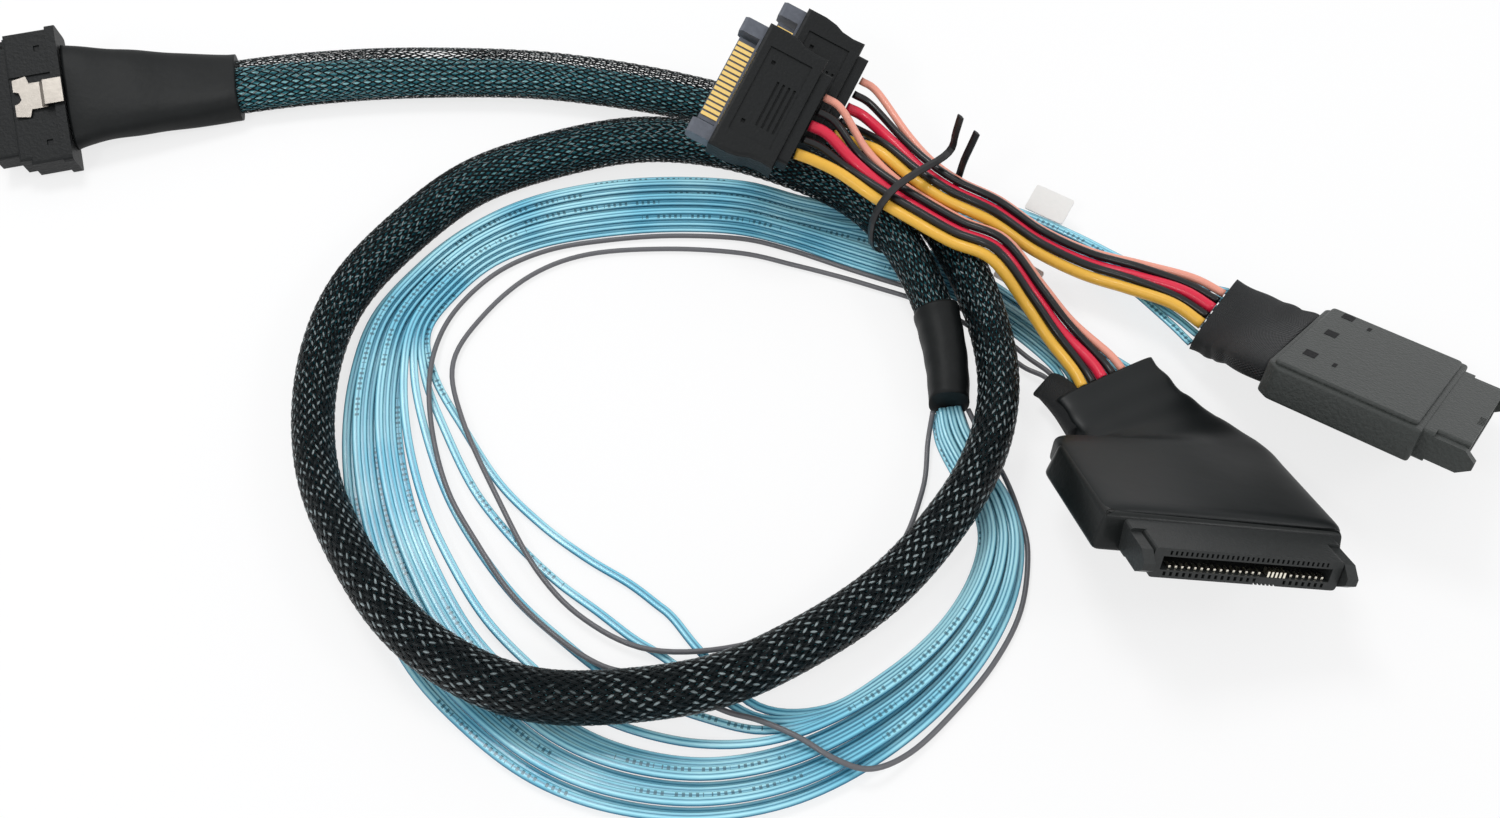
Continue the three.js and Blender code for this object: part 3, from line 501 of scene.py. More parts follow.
def cloth_tape():
    """Black tape of woven cloth: fine threads both ways."""
    shader = plain("cloth_tape", (0.009, 0.010, 0.011), 0.6, specular=0.3)
    thread_pitch, threads_round = 0.55, 110
    u, v = shader.uv()
    warp = shader.math("SINE", shader.math("MULTIPLY", u, 2 * math.pi / thread_pitch))
    weft = shader.math("SINE", shader.math("MULTIPLY", v, 2 * math.pi * threads_round))
    shader.bump(shader.math("MULTIPLY", warp, weft), 0.5, 0.0003)
    return shader.material


STRAND_FILM = strand_jacket()
BRAID_FILAMENT = braid_filament()
CORE_BUNDLE = core_bundle()
CLOTH_TAPE = cloth_tape()
SHRINK_TUBE = grained("shrink_tube", (0.0055, 0.0065, 0.0068), 0.5, 500.0, 0.3, specular=0.18)
BLACK_MOULDING = grained("black_moulding", (0.007, 0.008, 0.0085), 0.5, 1400.0, 0.5, specular=0.2)
GLOSS_MOULDING = grained("gloss_moulding", (0.006, 0.0075, 0.0075), 0.32, 1200.0, 0.12, specular=0.25)
GREY_MOULDING = grained("grey_moulding", (0.034, 0.038, 0.036), 0.5, 1400.0, 0.6)
PALE_PIN = grained("pale_pin", (0.86, 0.82, 0.70), 0.3, 1800.0, 0.1, metallic=1.0, uneven=0.1)
# Near-black painted shade for the hollows of the right hood's windows
WINDOW_SHADE = grained("window_painted_shade", (0.004, 0.004, 0.005), 0.6, 1400.0, 0.3, specular=0.1)
RECEPTACLE_MOULDING = grained("receptacle_moulding", (0.022, 0.024, 0.024), 0.45, 1500.0, 0.3)
SLATE_INSULATOR = grained("slate_insulator", (0.11, 0.12, 0.145), 0.42, 900.0, 0.25)
LATCH_STEEL = grained("latch_steel", (0.33, 0.305, 0.275), 0.36, 700.0, 0.08, metallic=1.0, uneven=0.12)
SMOOTH_TAPE = grained("smooth_tape", (0.006, 0.0075, 0.008), 0.42, 90.0, 0.35, specular=0.25)
GOLD_CONTACT = grained("gold_contact", (0.88, 0.62, 0.22), 0.25, 1500.0, 0.08, metallic=1.0, uneven=0.1)
CARD_GREEN = grained("card_green", (0.02, 0.12, 0.05), 0.4, 1600.0, 0.15, uneven=0.15)
LABEL_WHITE = grained("label_white", (0.85, 0.85, 0.83), 0.6, 1100.0, 0.12, uneven=0.03)
TIE_BLACK = jacket("tie_black", (0.012, 0.012, 0.013), 0.4)
WIRE = {
    "yellow": jacket("yellow_jacket", (0.84, 0.47, 0.06)),
    "black": jacket("black_jacket", (0.007, 0.007, 0.008)),
    "red": jacket("red_jacket", (0.72, 0.02, 0.06)),
    "orange": jacket("orange_jacket", (0.86, 0.36, 0.27)),
    "grey": jacket("grey_jacket", (0.13, 0.13, 0.14), 0.38),
}


# Where the rigid ends lie
class Pose:
    """A place with its own axes, turned about Z, then lifted at the nose, then rolled."""

    def __init__(self, spot, turn, lift, roll):
        a, b, c = (math.radians(v) for v in (turn, lift, roll))
        about_z = np.array([[math.cos(a), -math.sin(a), 0], [math.sin(a), math.cos(a), 0], [0, 0, 1]])
        about_x = np.array([[1, 0, 0], [0, math.cos(b), -math.sin(b)], [0, math.sin(b), math.cos(b)]])
        about_y = np.array([[math.cos(c), 0, math.sin(c)], [0, 1, 0], [-math.sin(c), 0, math.cos(c)]])
        self.spot = np.array(spot, float)
        self.turn = about_z @ about_x @ about_y

    def at(self, *local):
        """One place, given in the piece's own axes."""
        return self.turn @ np.array(local, float) + self.spot

    def axis(self, column):
        """One of its axes: 0 across it, 1 toward its nose and 2 up from it."""
        return self.turn[:, column]

    def place(self, points):
        """Many places, given in the piece's own axes."""
        return points @ self.turn.T + self.spot

    def over(self, points):
        """As place, with the piece first turned face down about its own Y axis."""
        return self.place(points * (-1, 1, -1))


HOST = Pose((-173.1, 74.1, 9.6), 104, 0, -20)
INLET_A = Pose((-3.4, 59.6, 30.8), 67.7, 16.5, -21.3)
INLET_B = Pose((5.3, 70.4, 25), 67.7, 16.5, -21.3)
LOWER = Pose((88, -49.2, 22.9), 189.6, 29.8, -14.9)
RIGHT = Pose((136.8, -16.5, 17.9), 234.5, 6, -31.1)


class Tail:
    """The mouth of a connector's tape, and the level way out of it."""

    def __init__(self, at, out):
        self.at = np.array(at, float)
        self.out = unit(out)
        self.left = np.array([self.out[1], -self.out[0], 0.0])


LOWER_TAIL = Tail((74, -0.9, 4.7), (-0.45, 0.893, 0))
RIGHT_TAIL = Tail((98.7, 14.1, 9.2), (-0.8, 0.6, 0))


# Sleeve: place, underside height, width and height of the oval, from the boot to the loose end
SLEEVE_ROUTE = [
    (-127, 85, 0, 16, 8.6), (-116, 87.3, 0, 16, 8.6), (-90, 90, 0, 15, 9), (-57, 89.6, 0, 13, 9.8),
    (-40, 87.2, 0, 12.4, 10), (-22, 83.6, 0, 12, 9.6), (5, 75, 0, 11, 9.6), (17, 68, 1.2, 10, 10.4),
    (27, 59.5, 2.8, 9.4, 11.6), (35, 49, 4.2, 8.8, 12.4), (41.5, 38, 4.4, 8.6, 12.4),
    (46, 27, 4.2, 8.6, 12.6), (49.3, 15, 3.8, 8.6, 13), (51.2, 2, 3.8, 8.6, 13),
    (50.5, -10, 4.6, 8.6, 13), (47, -22, 5, 8.8, 12.6), (41.5, -32, 3.6, 9, 12.4),
    (25, -51, 0.75, 9.6, 12), (2, -67, 3.2, 9.8, 12), (-10, -72, 3.8, 9.8, 12),
    (-37, -74.6, 4, 9.8, 12), (-50, -71, 4, 9.8, 12), (-62, -64, 4, 9.6, 12),
    (-72, -54, 3.8, 9.2, 12.4), (-86.5, -30, 1, 8.6, 13), (-91, -15, 0, 8.6, 13),
    (-92.5, 0, 0, 8.6, 13), (-91, 15, 0, 8.6, 13), (-86, 28, 0, 9, 12.6), (-70, 49.5, 0, 10, 11.6),
    (-59, 58, 0, 10.6, 11), (-32, 67.6, 0, 11.2, 10.4), (-17, 68, 0, 11, 10), (-3, 65, 0, 10.4, 9.8),
    (9, 58.5, 1.2, 9.8, 9.6), (19, 51, 3.4, 9.2, 10), (27.5, 42, 4.4, 8.6, 11.6),
    (33.5, 31.5, 4.4, 8.6, 11.6), (38, 20.5, 3, 8.4, 11), (40, 12.6, 1.8, 8.4, 10),
]
SLEEVE_START = unit((0.98, 0.2, 0))
SLEEVE_END = unit((0.13, -1, 0))


def sleeve_line():
    """The sleeve's middle line with its width and height, evenly spaced. Each point is the mean of its
    neighbours weighted by a bell curve SLEEVE_EASE wide, with the line mirrored past its ends."""
    fine_steps, bell_widths = 1400, 3
    rows = [(x, y, low + high / 2, wide, high) for x, y, low, wide, high in SLEEVE_ROUTE]
    line = resampled(smooth(rows, fine_steps), SLEEVE_STEPS)
    step = run_length(line[:, :3])[-1] / SLEEVE_STEPS
    reach = int(bell_widths * SLEEVE_EASE / step)
    bell = np.exp(-((np.arange(-reach, reach + 1) * step / SLEEVE_EASE) ** 2) / 2)
    bell /= bell.sum()
    before = 2 * line[0] - line[reach:0:-1]
    after = 2 * line[-1] - line[-2:-reach - 2:-1]
    padded = np.vstack([before, line, after])
    line = np.column_stack([np.convolve(column, bell, "valid") for column in padded.T])
    return line[:, :3], line[:, 3:]


def braid_family(points, sizes, hand):
    """One hand of the braid. A carrier winds round the oval once in each pitch. Carrier c crosses
    carrier d of the other hand wherever c + d is whole, and passes over two and under two, so it is
    lifted by the cosine of a quarter turn for each crossing."""
    side, up = line_frame(points, facing=(SLEEVE_START, SLEEVE_END))
    run = run_length(points)
    rows = len(points)
    all_points, all_faces, all_uv = [], [], []
    columns = 3
    across = np.linspace(-0.5, 0.5, columns)
    crown = RIBBON_CROWN * (1 - (2 * across) ** 2)
    around = math.pi * (sizes[:, 0] + sizes[:, 1]) / 2
    slope = np.arctan2(around, BRAID_PITCH)
    ribbon = np.interp(run, *zip(*BRAID_RIBBON))
    half_turn = ribbon / np.cos(slope) / around * math.pi
    for carrier in range(BRAID_CARRIERS):
        angle = 2 * math.pi * (carrier / BRAID_CARRIERS + hand * run / BRAID_PITCH)
        crossing = 2 * carrier + hand * 2 * BRAID_CARRIERS * run / BRAID_PITCH
        floats = (crossing - FLOAT_MIDDLES[hand]) / FLOAT_CROSSINGS
        lift = BRAID_LIFT * np.cos(2 * math.pi * floats)
        theta = angle[:, None] + half_turn[:, None] * 2 * across[None, :]
        out = (lift[:, None] + crown[None, :]) - BRAID_SKIN - RIBBON_SINK
        wide = sizes[:, 0, None] / 2 + out
        high = sizes[:, 1, None] / 2 + out
        spots = (points[:, None, :]
                 + side[:, None, :] * (np.cos(theta) * wide)[..., None]
                 + up[:, None, :] * (np.sin(theta) * high)[..., None])
        faces = grid_faces(rows, columns, closed=False)
        all_points.append(spots.reshape(-1, 3))
        all_faces.append(faces + carrier * rows * columns)
        all_uv.append(grid_uv(floats, np.linspace(0, 1, columns)))
    return np.vstack(all_points), np.vstack(all_faces), np.vstack(all_uv)


def as_cord(piece, points, node):
    """Attaches a piece to the harness and hides the solid it stands for."""
    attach(piece, "root")
    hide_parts(node)
    tuple(shift(points[0]))
    [tuple(p) for p in shift(points)]


def braided_sleeve():
    """Both hands of the braid over a core of packed strands."""
    points, sizes = sleeve_line()
    core_every, cord_every = 3, 8
    facing = (SLEEVE_START, SLEEVE_END)
    aside = np.interp(run_length(points), *zip(*CORE_ASIDE))[:, None]
    side = line_frame(points, facing=facing)[0]
    inset = 2 * CORE_INSET + 2 * aside * CORE_NARROWS
    core = swept("sleeve_core", (points - side * aside)[::core_every], (sizes - inset)[::core_every],
                 oval(36), CORE_BUNDLE, facing=facing)
    as_cord(core, points[::cord_every], "braided_sleeve")
    for hand, word in ((1, "right"), (-1, "left")):
        spots, faces, uv = braid_family(points, sizes, hand)
        corners = uv.reshape(-1, 4, 2)[:, ::-1].reshape(-1, 2)
        piece = make_mesh("braid_" + word + "_hand", spots, faces[:, ::-1], corners, BRAID_FILAMENT)
        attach(piece, "root")


braided_sleeve()

# Strands. A station is a place on the bundle's middle line, the height of its lowest row, half the
# bundle's width, and how far the innermost strand strays from it into the loop.
BUNDLE_ROUTE = [
    (40.9, -6.9, 1.5, 2.6, 0), (42, -13, 1, 3.1, 0), (45.2, -21, 0.75, 3.2, 0), (48.8, -29, 0.75, 3.4, 0),
    (49.6, -38, 0.75, 3.8, 0), (46.4, -49, 0.75, 4.5, 0), (39.5, -60, 0.75, 5.2, 0),
    (29.5, -70, 0.75, 6, 0), (17, -78.5, 0.75, 6.8, 0), (4, -84, 0.75, 7.4, 5),
    (-10, -86, 0.75, 7.8, 17), (-24, -84, 0.75, 8.4, 23), (-36, -79, 0.75, 9, 24),
    (-47, -70.5, 0.75, 9.5, 23.5), (-58, -59, 0.75, 9.7, 21), (-66.5, -45, 0.75, 9.4, 17),
    (-73, -30, 0.75, 8.6, 13), (-77.5, -13, 0.75, 7.8, 9), (-79, 3, 0.75, 7, 3.5),
    (-77.5, 17, 0.75, 6.2, 0), (-71, 29, 0.75, 5.6, 0), (-62, 39, 0.75, 5.6, 0),
    (-50, 46, 0.75, 6.4, 0), (-35, 50, 0.75, 7, 0), (-19, 51.5, 0.75, 7, 0), (-3, 50.5, 0.75, 6.8, 0),
    (10, 46.4, 0.75, 6.4, 0),
]


def approach(tail, back, above, half):
    """A station square to a tape's mouth, so far out of it and so far above its middle."""
    x, y, z = tail.at + tail.out * back
    return (x, y, z + above, half, 0, tail.left)


LOWER_BRANCH = [
    (22, 38.6, 0.75, 4, 0), (30, 35.6, 0.75, 4.2, 0), (38, 32.6, 0.75, 4.1, 0), (47, 28, 0.75, 3.6, 0),
    (56, 20.5, 0.8, 3.2, 0), (64, 12.6, 1.2, 3.6, 0),
    approach(LOWER_TAIL, 7, -2, 6), approach(LOWER_TAIL, 0.5, -1.6, 8.6),
]
RIGHT_BRANCH = [
    (22, 47.6, 0.75, 4, 0), (31, 48.9, 0.75, 4.2, 0), (40, 50.4, 0.75, 4.1, 0), (50, 49.6, 0.8, 3.4, 0),
    (61, 45.5, 1, 3, 0), (72, 38, 2, 3, 0), (83, 27.5, 4.4, 3.6, 0),
    approach(RIGHT_TAIL, 8, -1.8, 6), approach(RIGHT_TAIL, 0.5, -1.6, 8.6),
]
STRAY_SHARES = (1, 0.7, 0.38, 0.1)
STRAY_FLAT = 6.0


def lane(stations, lanes, index, pitch, rise, rows, first=0):
    """One strand's places at the stations. It keeps its own lane across the bundle. Where the lanes are
    closer than the pitch, the strands stack in rows, higher the closer they are."""
    middles = np.array([s[:3] for s in stations], float)
    steps = np.gradient(middles, axis=0)
    knots = []
    for k, station in enumerate(stations):
        left = unit((-steps[k][1], steps[k][0], 0)) if len(station) < 6 else station[5]
        gap = 2 * station[3] / (lanes - 1)
        stray = station[4] * (STRAY_SHARES[index] if index < len(STRAY_SHARES) else 0)
        aside = (index - (lanes - 1) / 2) * gap - stray
        packed = math.sqrt(max(0, 1 - (gap / pitch) ** 2)) * max(0, 1 - stray / STRAY_FLAT)
        row = (index + first) % rows * rise * packed
        knots.append(middles[k] + left * aside + (0, 0, row))
    return knots


def cord(name, knots, wide, high, profile, material, start=0.0):
    """A strand or wire through its knots, attached to the harness in place of its solid."""
    points = smooth(knots, STEPS_PER_KNOT * (len(knots) - 1))
    sizes = np.tile((wide, high), (len(points), 1))
    piece = swept(name + "_cable", points, sizes, profile, material, start=start)
    as_cord(piece, points[::3] if len(points) % 3 == 1 else points, name)


def data_strands():
    """Seven twin strands to each drive connector."""
    half = STRAND_COUNT // 2
    for index in range(STRAND_COUNT):
        to_right = index >= half
        shared = lane(BUNDLE_ROUTE, STRAND_COUNT, index, STRAND_PITCH, STRAND_RISE, STRAND_ROWS)
        branch = lane(RIGHT_BRANCH if to_right else LOWER_BRANCH, half, index % half, STRAND_PITCH,
                      STRAND_RISE, STRAND_ROWS, half if to_right else 0)
        side = "strand_right_" if to_right else "strand_lower_"
        cord(side + str(index % half + 1), shared + branch, STRAND_WIDTH, STRAND_THICK, twin(),
             STRAND_FILM, PRINT_OFFSET * index)


GREY_INNER = [
    (37.6, -7.4, 3.9), (36.4, -13.5, 1.8), (34.6, -25, 0.8), (28, -40, 0.8), (14, -53, 0.8),
    (-3, -60, 1.8), (-20, -61, 2.2), (-33, -54.6, 2.2), (-43, -44, 2.2), (-52, -28, 2.2),
    (-61.5, -8, 2), (-65, 7, 1.2), (-59.6, 20, 0.8), (-50, 31, 0.8), (-37.6, 37, 0.8),
    (-20, 38.6, 0.8), (-3, 37.4, 0.8), (9, 34, 0.8), (20, 30.4, 0.8), (28, 27.4, 0.8),
    (36, 24.2, 0.8), (44, 19.6, 0.8), (51.6, 13, 0.9), (58, 5.8, 1.4),
]
GREY_OUTER = [
    (44.9, -7.4, 4.7), (47.9, -14, 3), (52, -22, 0.8), (54, -30, 0.8), (55, -39, 0.8),
    (52.4, -52, 0.8), (46, -63.5, 0.8), (37, -74, 0.8), (29, -81.5, 1.4), (21.5, -85.4, 3.6),
    (15, -84, 4.7), (8, -79.6, 4.7), (1, -76, 3.6), (-5, -73.8, 2.4), (-12, -70.4, 2.2),
    (-20, -66.6, 2.2), (-29, -64.4, 2.2), (-38, -58.6, 2.4), (-47.5, -49.5, 2.6), (-55.5, -38, 2.6),
    (-62.5, -26, 2.6), (-67.2, -12, 2.6), (-69.4, 2, 2.4), (-68.6, 14, 1.2), (-64.6, 23.6, 0.8),
    (-57, 32.4, 0.8), (-46.6, 38.2, 0.8), (-34, 41, 0.8), (-19, 42.4, 0.8), (-3, 41.6, 0.8),
    (8, 38.4, 0.8), (20, 33.4, 0.8), (28.4, 30, 0.8), (36, 27, 0.8), (44.4, 22.8, 0.8),
    (52.4, 16.2, 0.9), (59, 8.6, 1.3),
]


def grey_wires():
    """Two round sense wires, ending beside the strands in the lower connector's tape."""
    for number, route, aside, wider in ((1, GREY_INNER, -8.9, -2.6), (2, GREY_OUTER, -7.5, -2.7)):
        ends = [approach(LOWER_TAIL, 7, -2, 1), approach(LOWER_TAIL, 0.5, -1.6, 1)]
        last = [np.array(e[:3]) + e[5] * (aside + k * wider) for k, e in enumerate(ends)]
        cord("grey_wire_" + str(number), [np.array(p, float) for p in route] + last, GREY_WIRE,
             GREY_WIRE, oval(12), WIRE["grey"])


# Power wires, over both turns of the sleeve and down to a drive connector
LOWER_POWER = [
    (22, 47.2, 20.6, 4.6, 0), (29, 41, 18.7, 3.6, 0), (36, 35.4, 18.3, 3.3, 0), (44, 29.4, 18.2, 3.3, 0),
    (52.5, 24.6, 18, 3.2, 0), (60.5, 18, 10.5, 3.2, 0), (66, 11.4, 6.8, 3.6, 0),
    approach(LOWER_TAIL, 5, 1.5, 4.6), approach(LOWER_TAIL, 0.5, 1.2, 5),
]
RIGHT_POWER = [
    (31, 54, 19.4, 4.2, 0), (37, 46.6, 18.8, 3.4, 0), (43.6, 40.6, 18.6, 3.2, 0),
    (52.5, 35.8, 17.6, 3.2, 0), (62.5, 32, 12, 3.2, 0), (73, 28.2, 9, 3.4, 0), (83, 23.6, 10, 3.8, 0),
    approach(RIGHT_TAIL, 8, 1.9, 4.4), approach(RIGHT_TAIL, 0.5, 1.4, 5),
]
POWER_WIRES = (("yellow", THICK_WIRE), ("black_1", THIN_WIRE), ("red", THICK_WIRE),
               ("black_2", THIN_WIRE), ("orange", THIN_WIRE))


def power_loom(name, inlet, route):
    """Five wires side by side from an inlet's rear face, drawing together on their first straight."""
    spread = POWER_EXIT_PITCH * (len(POWER_WIRES) - 1) / 2
    clear, straight, narrows = 0.1, 5, 0.08
    exits = []
    for k, y in enumerate((-INLET_REAR - SEAT_GAP - clear, -INLET_REAR - straight)):
        exits.append((*inlet.at(0, y, 0), spread * (1 - narrows * k), 0, inlet.axis(0)))
    for k, (colour, size) in enumerate(POWER_WIRES):
        knots = lane(exits + route, len(POWER_WIRES), k, POWER_PITCH, POWER_PITCH, POWER_ROWS)
        tint = colour.split("_")[0]
        cord(name + "_" + colour, knots, size, size, oval(14), WIRE[tint])


data_strands()
grey_wires()
power_loom("power_lower", INLET_A, LOWER_POWER)
power_loom("power_right", INLET_B, RIGHT_POWER)


# Moulded pieces
def rounded(corners, radius, steps=4):
    """A plan outline with each corner swapped for a curve that leaves its sides at the radius."""
    corners = np.asarray(corners, float)
    before, after = np.roll(corners, 1, axis=0), np.roll(corners, -1, axis=0)
    share = np.linspace(0, 1, steps + 1)[:, None]
    rows = []
    for corner, a, b in zip(corners, before, after):
        start = corner + unit(a - corner) * min(radius, np.linalg.norm(a - corner) / 2.01)
        end = corner + unit(b - corner) * min(radius, np.linalg.norm(b - corner) / 2.01)
        rows.append(start * (1 - share) ** 2 + corner * 2 * share * (1 - share) + end * share**2)
    return np.vstack(rows)


def slab(name, place, outline, low, high, bevel, material, steps=4, draft=0.0):
    """A plate over an outline. Its rims are quarter rounds: at angle a round a rim the outline is drawn
    in by the bevel times one minus sine a, and stands the bevel times one minus cosine a from the face.
    The walls lean in toward the top by the draft."""
    edge = np.roll(outline, -1, axis=0) - outline
    normal = unit(np.column_stack([edge[:, 1], -edge[:, 0]]))
    mean = normal + np.roll(normal, 1, axis=0)
    outward = mean / np.maximum(np.sum(mean * mean, axis=1, keepdims=True) / 2, 0.5)
    angle = np.linspace(0, math.pi / 2, steps + 1)
    drawn = bevel * (1 - np.sin(angle))
    raised = bevel * (1 - np.cos(angle))
    drawn = np.concatenate([drawn, drawn[::-1]])
    level = np.concatenate([low + raised, high - raised[::-1]])
    drawn = drawn + draft * (level - low) / (high - low)
    rings = outline[None] - outward[None] * drawn[:, None, None]
    heights = np.broadcast_to(level[:, None, None], rings.shape[:2] + (1,))
    points = np.concatenate([rings, heights], axis=2).reshape(-1, 3)
    rows, columns = rings.shape[:2]
    return make_mesh(name, place(points), grid_faces(rows, columns), None, material,
                     end_caps(rows, columns))


def blocks(name, place, boxes, material):
    """Many small boxes as one piece, each from its low and high x, y and z."""
    boxes = np.asarray(boxes, float).reshape(-1, 3, 2)
    pick = np.array([[i & 1, i >> 1 & 1, i >> 2 & 1] for i in range(8)])
    points = np.stack([boxes[:, axis][:, pick[:, axis]] for axis in range(3)], axis=-1)
    sides = np.array([[0, 2, 3, 1], [4, 5, 7, 6], [0, 1, 5, 4], [2, 6, 7, 3], [0, 4, 6, 2], [1, 3, 7, 5]])
    faces = (sides[None] + 8 * np.arange(len(boxes))[:, None, None]).reshape(-1, 4)
    return make_mesh(name, place(points.reshape(-1, 3)), faces, None, material, flat=True)


def box_row(middles, half_width, depth, height):
    """Boxes of one width at each place across, each over the same depths and heights."""
    return [(x - half_width, x + half_width, *depth, *height) for x in middles]


def stand_for(piece, node):
    """The piece rides with the harness, and is shown in place of its solid where it has one."""
    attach(piece, "root")
    if node:
        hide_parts(node)


def hood_outline(low_side, high_side, front, cut, corner):
    """A hood's plan with its rear corners cut off, then every corner rounded."""
    rear = -HOOD_LENGTH
    return rounded([(low_side, rear + cut), (low_side + cut, rear), (high_side - cut, rear),
                    (high_side, rear + cut), (high_side, front), (low_side, front)], corner)


def lower_hood():
    """Glossy hood whose walls lean in toward its top, flared on the side held off the table. Its top
    lies under the tape's skin."""
    side_lap, front_lap, top, rim = 0.4, 0.2, 3.9, 1.1
    body = hood_outline(-HOOD_WIDTH / 2 - side_lap, HOOD_WIDTH / 2 + HOOD_FLARE, front_lap, 2, 1.8)
    shell = slab("lower_hood_shell", LOWER.place, body, HOOD_BOTTOM, top, rim, GLOSS_MOULDING, 5, HOOD_LEAN)
    stand_for(shell, "drive_lower_hood")


def right_hood():
    """Grained hood lying face down: a round-edged block with a raised panel and latch windows on the face
    that shows, the windows drawn as near-black blocks painted as the shade inside them."""
    half = HOOD_WIDTH / 2
    top, rim = 3.4, 0.6
    shell = slab("right_hood_shell", RIGHT.over, hood_outline(-half, half, 0, 2.4, 0.8), HOOD_BOTTOM, top,
                 rim, GREY_MOULDING)
    stand_for(shell, "drive_right_hood")
    panel_side, panel_end, panel_height, panel_rim = 1.6, 1.2, (-4.3, -3.0), 0.5
    x, rear, front = half - panel_side, -HOOD_LENGTH + panel_end, -panel_end
    panel = rounded([(-x, rear), (x, rear), (x, front), (-x, front)], 1.2)
    face = slab("right_hood_face", RIGHT.over, panel, *panel_height, panel_rim, GREY_MOULDING)
    stand_for(face, None)
    # The windows are near-black blocks set just proud of the panel: painted shade standing in for their
    # hollows
    recess = (-4.36, -3.6)
    openings = box_row((-11.3, 5.2, 19.6), 1.8, (-26.9, -24.4), recess)
    openings += box_row((-11.9, 17.5), 1.1, (-20.9, -20.1), recess)
    windows = blocks("right_hood_windows", RIGHT.over, openings, WINDOW_SHADE)
    stand_for(windows, None)


def mouth_pins(name, place):
    """Bright spring ends in the receptacle's mouth: two groups on the contacts' pitch with a close group
    between them, and a row of fine ones above."""
    first, close_first, close_pitch, fine_first, fine_pitch = -15.7, -7.8, 0.8, -14.6, 1.0
    wide_groups = [first + i * CONTACT_PITCH for i in (*range(7), *range(10, 25))]
    close_group = [close_first + i * close_pitch for i in range(5)]
    fine_row = [fine_first + i * fine_pitch for i in range(30)]
    boxes = box_row(wide_groups, 0.22, (6.4, 8.0), (-1.3, -0.75))
    boxes += box_row(close_group, 0.2, (6.6, 8.5), (-1.35, -0.2))
    boxes += box_row(fine_row, 0.14, (6.0, 7.6), (0.9, 1.3))
    stand_for(blocks(name, place, boxes, PALE_PIN), None)


def gilt_contacts(name, inlet):
    """Gilt blades side by side along an inlet's tongue."""
    middles = [(i - (CONTACT_COUNT - 1) / 2) * CONTACT_PITCH for i in range(CONTACT_COUNT)]
    boxes = box_row(middles, 0.42, (0.25, 4.6), (0.3, 0.64))
    stand_for(blocks(name, inlet.place, boxes, GOLD_CONTACT), None)


def bent_line(connector, depth, end, out, steps):
    """Middle line from so deep behind a connector's face to its end, square to both: a cubic curve whose
    handles are BEND_HANDLE long. Its across vectors turn evenly from the connector's own to level."""
    a = connector.at(0, -depth, 0)
    b = a - connector.axis(1) * BEND_HANDLE
    c = end - out * BEND_HANDLE
    t = np.linspace(0, 1, steps + 1)[:, None]
    points = a * (1 - t) ** 3 + 3 * b * t * (1 - t) ** 2 + 3 * c * t**2 * (1 - t) + end * t**3
    level = np.array([-out[1], out[0], 0])
    return points, unit(connector.axis(0)[None] * (1 - t) + level[None] * t)


def right_tape():
    """Cloth tape wound from the right hood's rear face to its tail: a flattened tube, creased by two
    waves as it narrows. Its widths and heights are given at shares of its length."""
    steps = 48
    widths = ((0, 42), (0.1, 37), (0.3, 27.5), (0.55, 23), (1, TAPE_TAIL - 3))
    heights = ((0, HOOD_THICK - 0.4), (0.2, HOOD_THICK - 0.6), (1, TAPE_TAIL_THICK + 0.4))
    points, across = bent_line(RIGHT, HOOD_LENGTH, RIGHT_TAIL.at, RIGHT_TAIL.out, steps)
    share = np.linspace(0, 1, steps + 1)
    crease = 0.22 * np.sin(share * 19) + 0.25 * np.sin(share * 11 + 1)
    sizes = np.column_stack([np.interp(share, *zip(*widths)) + crease,
                             np.interp(share, *zip(*heights)) + 0.5 * crease])
    facing = (-RIGHT.axis(1), RIGHT_TAIL.out)
    piece = swept("right_tape_wrap", points, sizes, oval(48, 0.55), CLOTH_TAPE, across, facing)
    stand_for(piece, "drive_right_tape")


def lower_tape():
    """Smooth tape over the lower hood's top and on to its tail in one skin: a rounded front edge, a flat
    top as wide as the hood, and shoulders that narrow to the tail, creased by two waves. The rim says
    how much smaller the skin is at depths behind its front edge."""
    steps = 44
    wide = HOOD_WIDTH + 1.0
    rim_depths, rim = np.array([0, 0.15, 0.5, 1.0, 1.8, 3.0]), (-3.0, -1.9, -1.0, -0.45, -0.1, 0)
    widths = ((0, wide), (0.14, wide - 4), (0.34, 34), (0.6, 26), (1, TAPE_TAIL))
    heights = ((0, SKIN_HEIGHT), (0.3, SKIN_HEIGHT - 0.8), (1, TAPE_TAIL_THICK + 0.6))
    behind, across = bent_line(LOWER, HOOD_LENGTH, LOWER_TAIL.at, LOWER_TAIL.out, steps)
    depths = np.concatenate([SKIN_FRONT + rim_depths, np.arange(7, 30, 3.0)])
    over = np.array([LOWER.at(SKIN_ASIDE, -depth, SKIN_MIDDLE) for depth in depths])
    easing = np.linspace(1, 0, steps + 1)[:, None] ** 2
    behind = behind + easing * (over[-1] - behind[0] - LOWER.axis(1) * (HOOD_LENGTH - depths[-1]))
    points = np.vstack([over, behind[1:]])
    across = np.vstack([np.tile(LOWER.axis(0), (len(depths), 1)), across[1:]])
    share = np.linspace(0, 1, steps + 1)[1:]
    crease = 0.3 * np.sin(share * 26) + 0.2 * np.sin(share * 11 + 1)
    front = np.interp(depths - SKIN_FRONT, rim_depths, rim)
    width = np.concatenate([wide + front, np.interp(share, *zip(*widths)) + crease])
    height = np.concatenate([SKIN_HEIGHT + front, np.interp(share, *zip(*heights)) + 0.5 * crease])
    facing = (-LOWER.axis(1), LOWER_TAIL.out)
    piece = swept("lower_tape_skin", points, np.column_stack([width, height]), oval(56, 0.34), SMOOTH_TAPE,
                  across, facing)
    stand_for(piece, "drive_lower_tape")


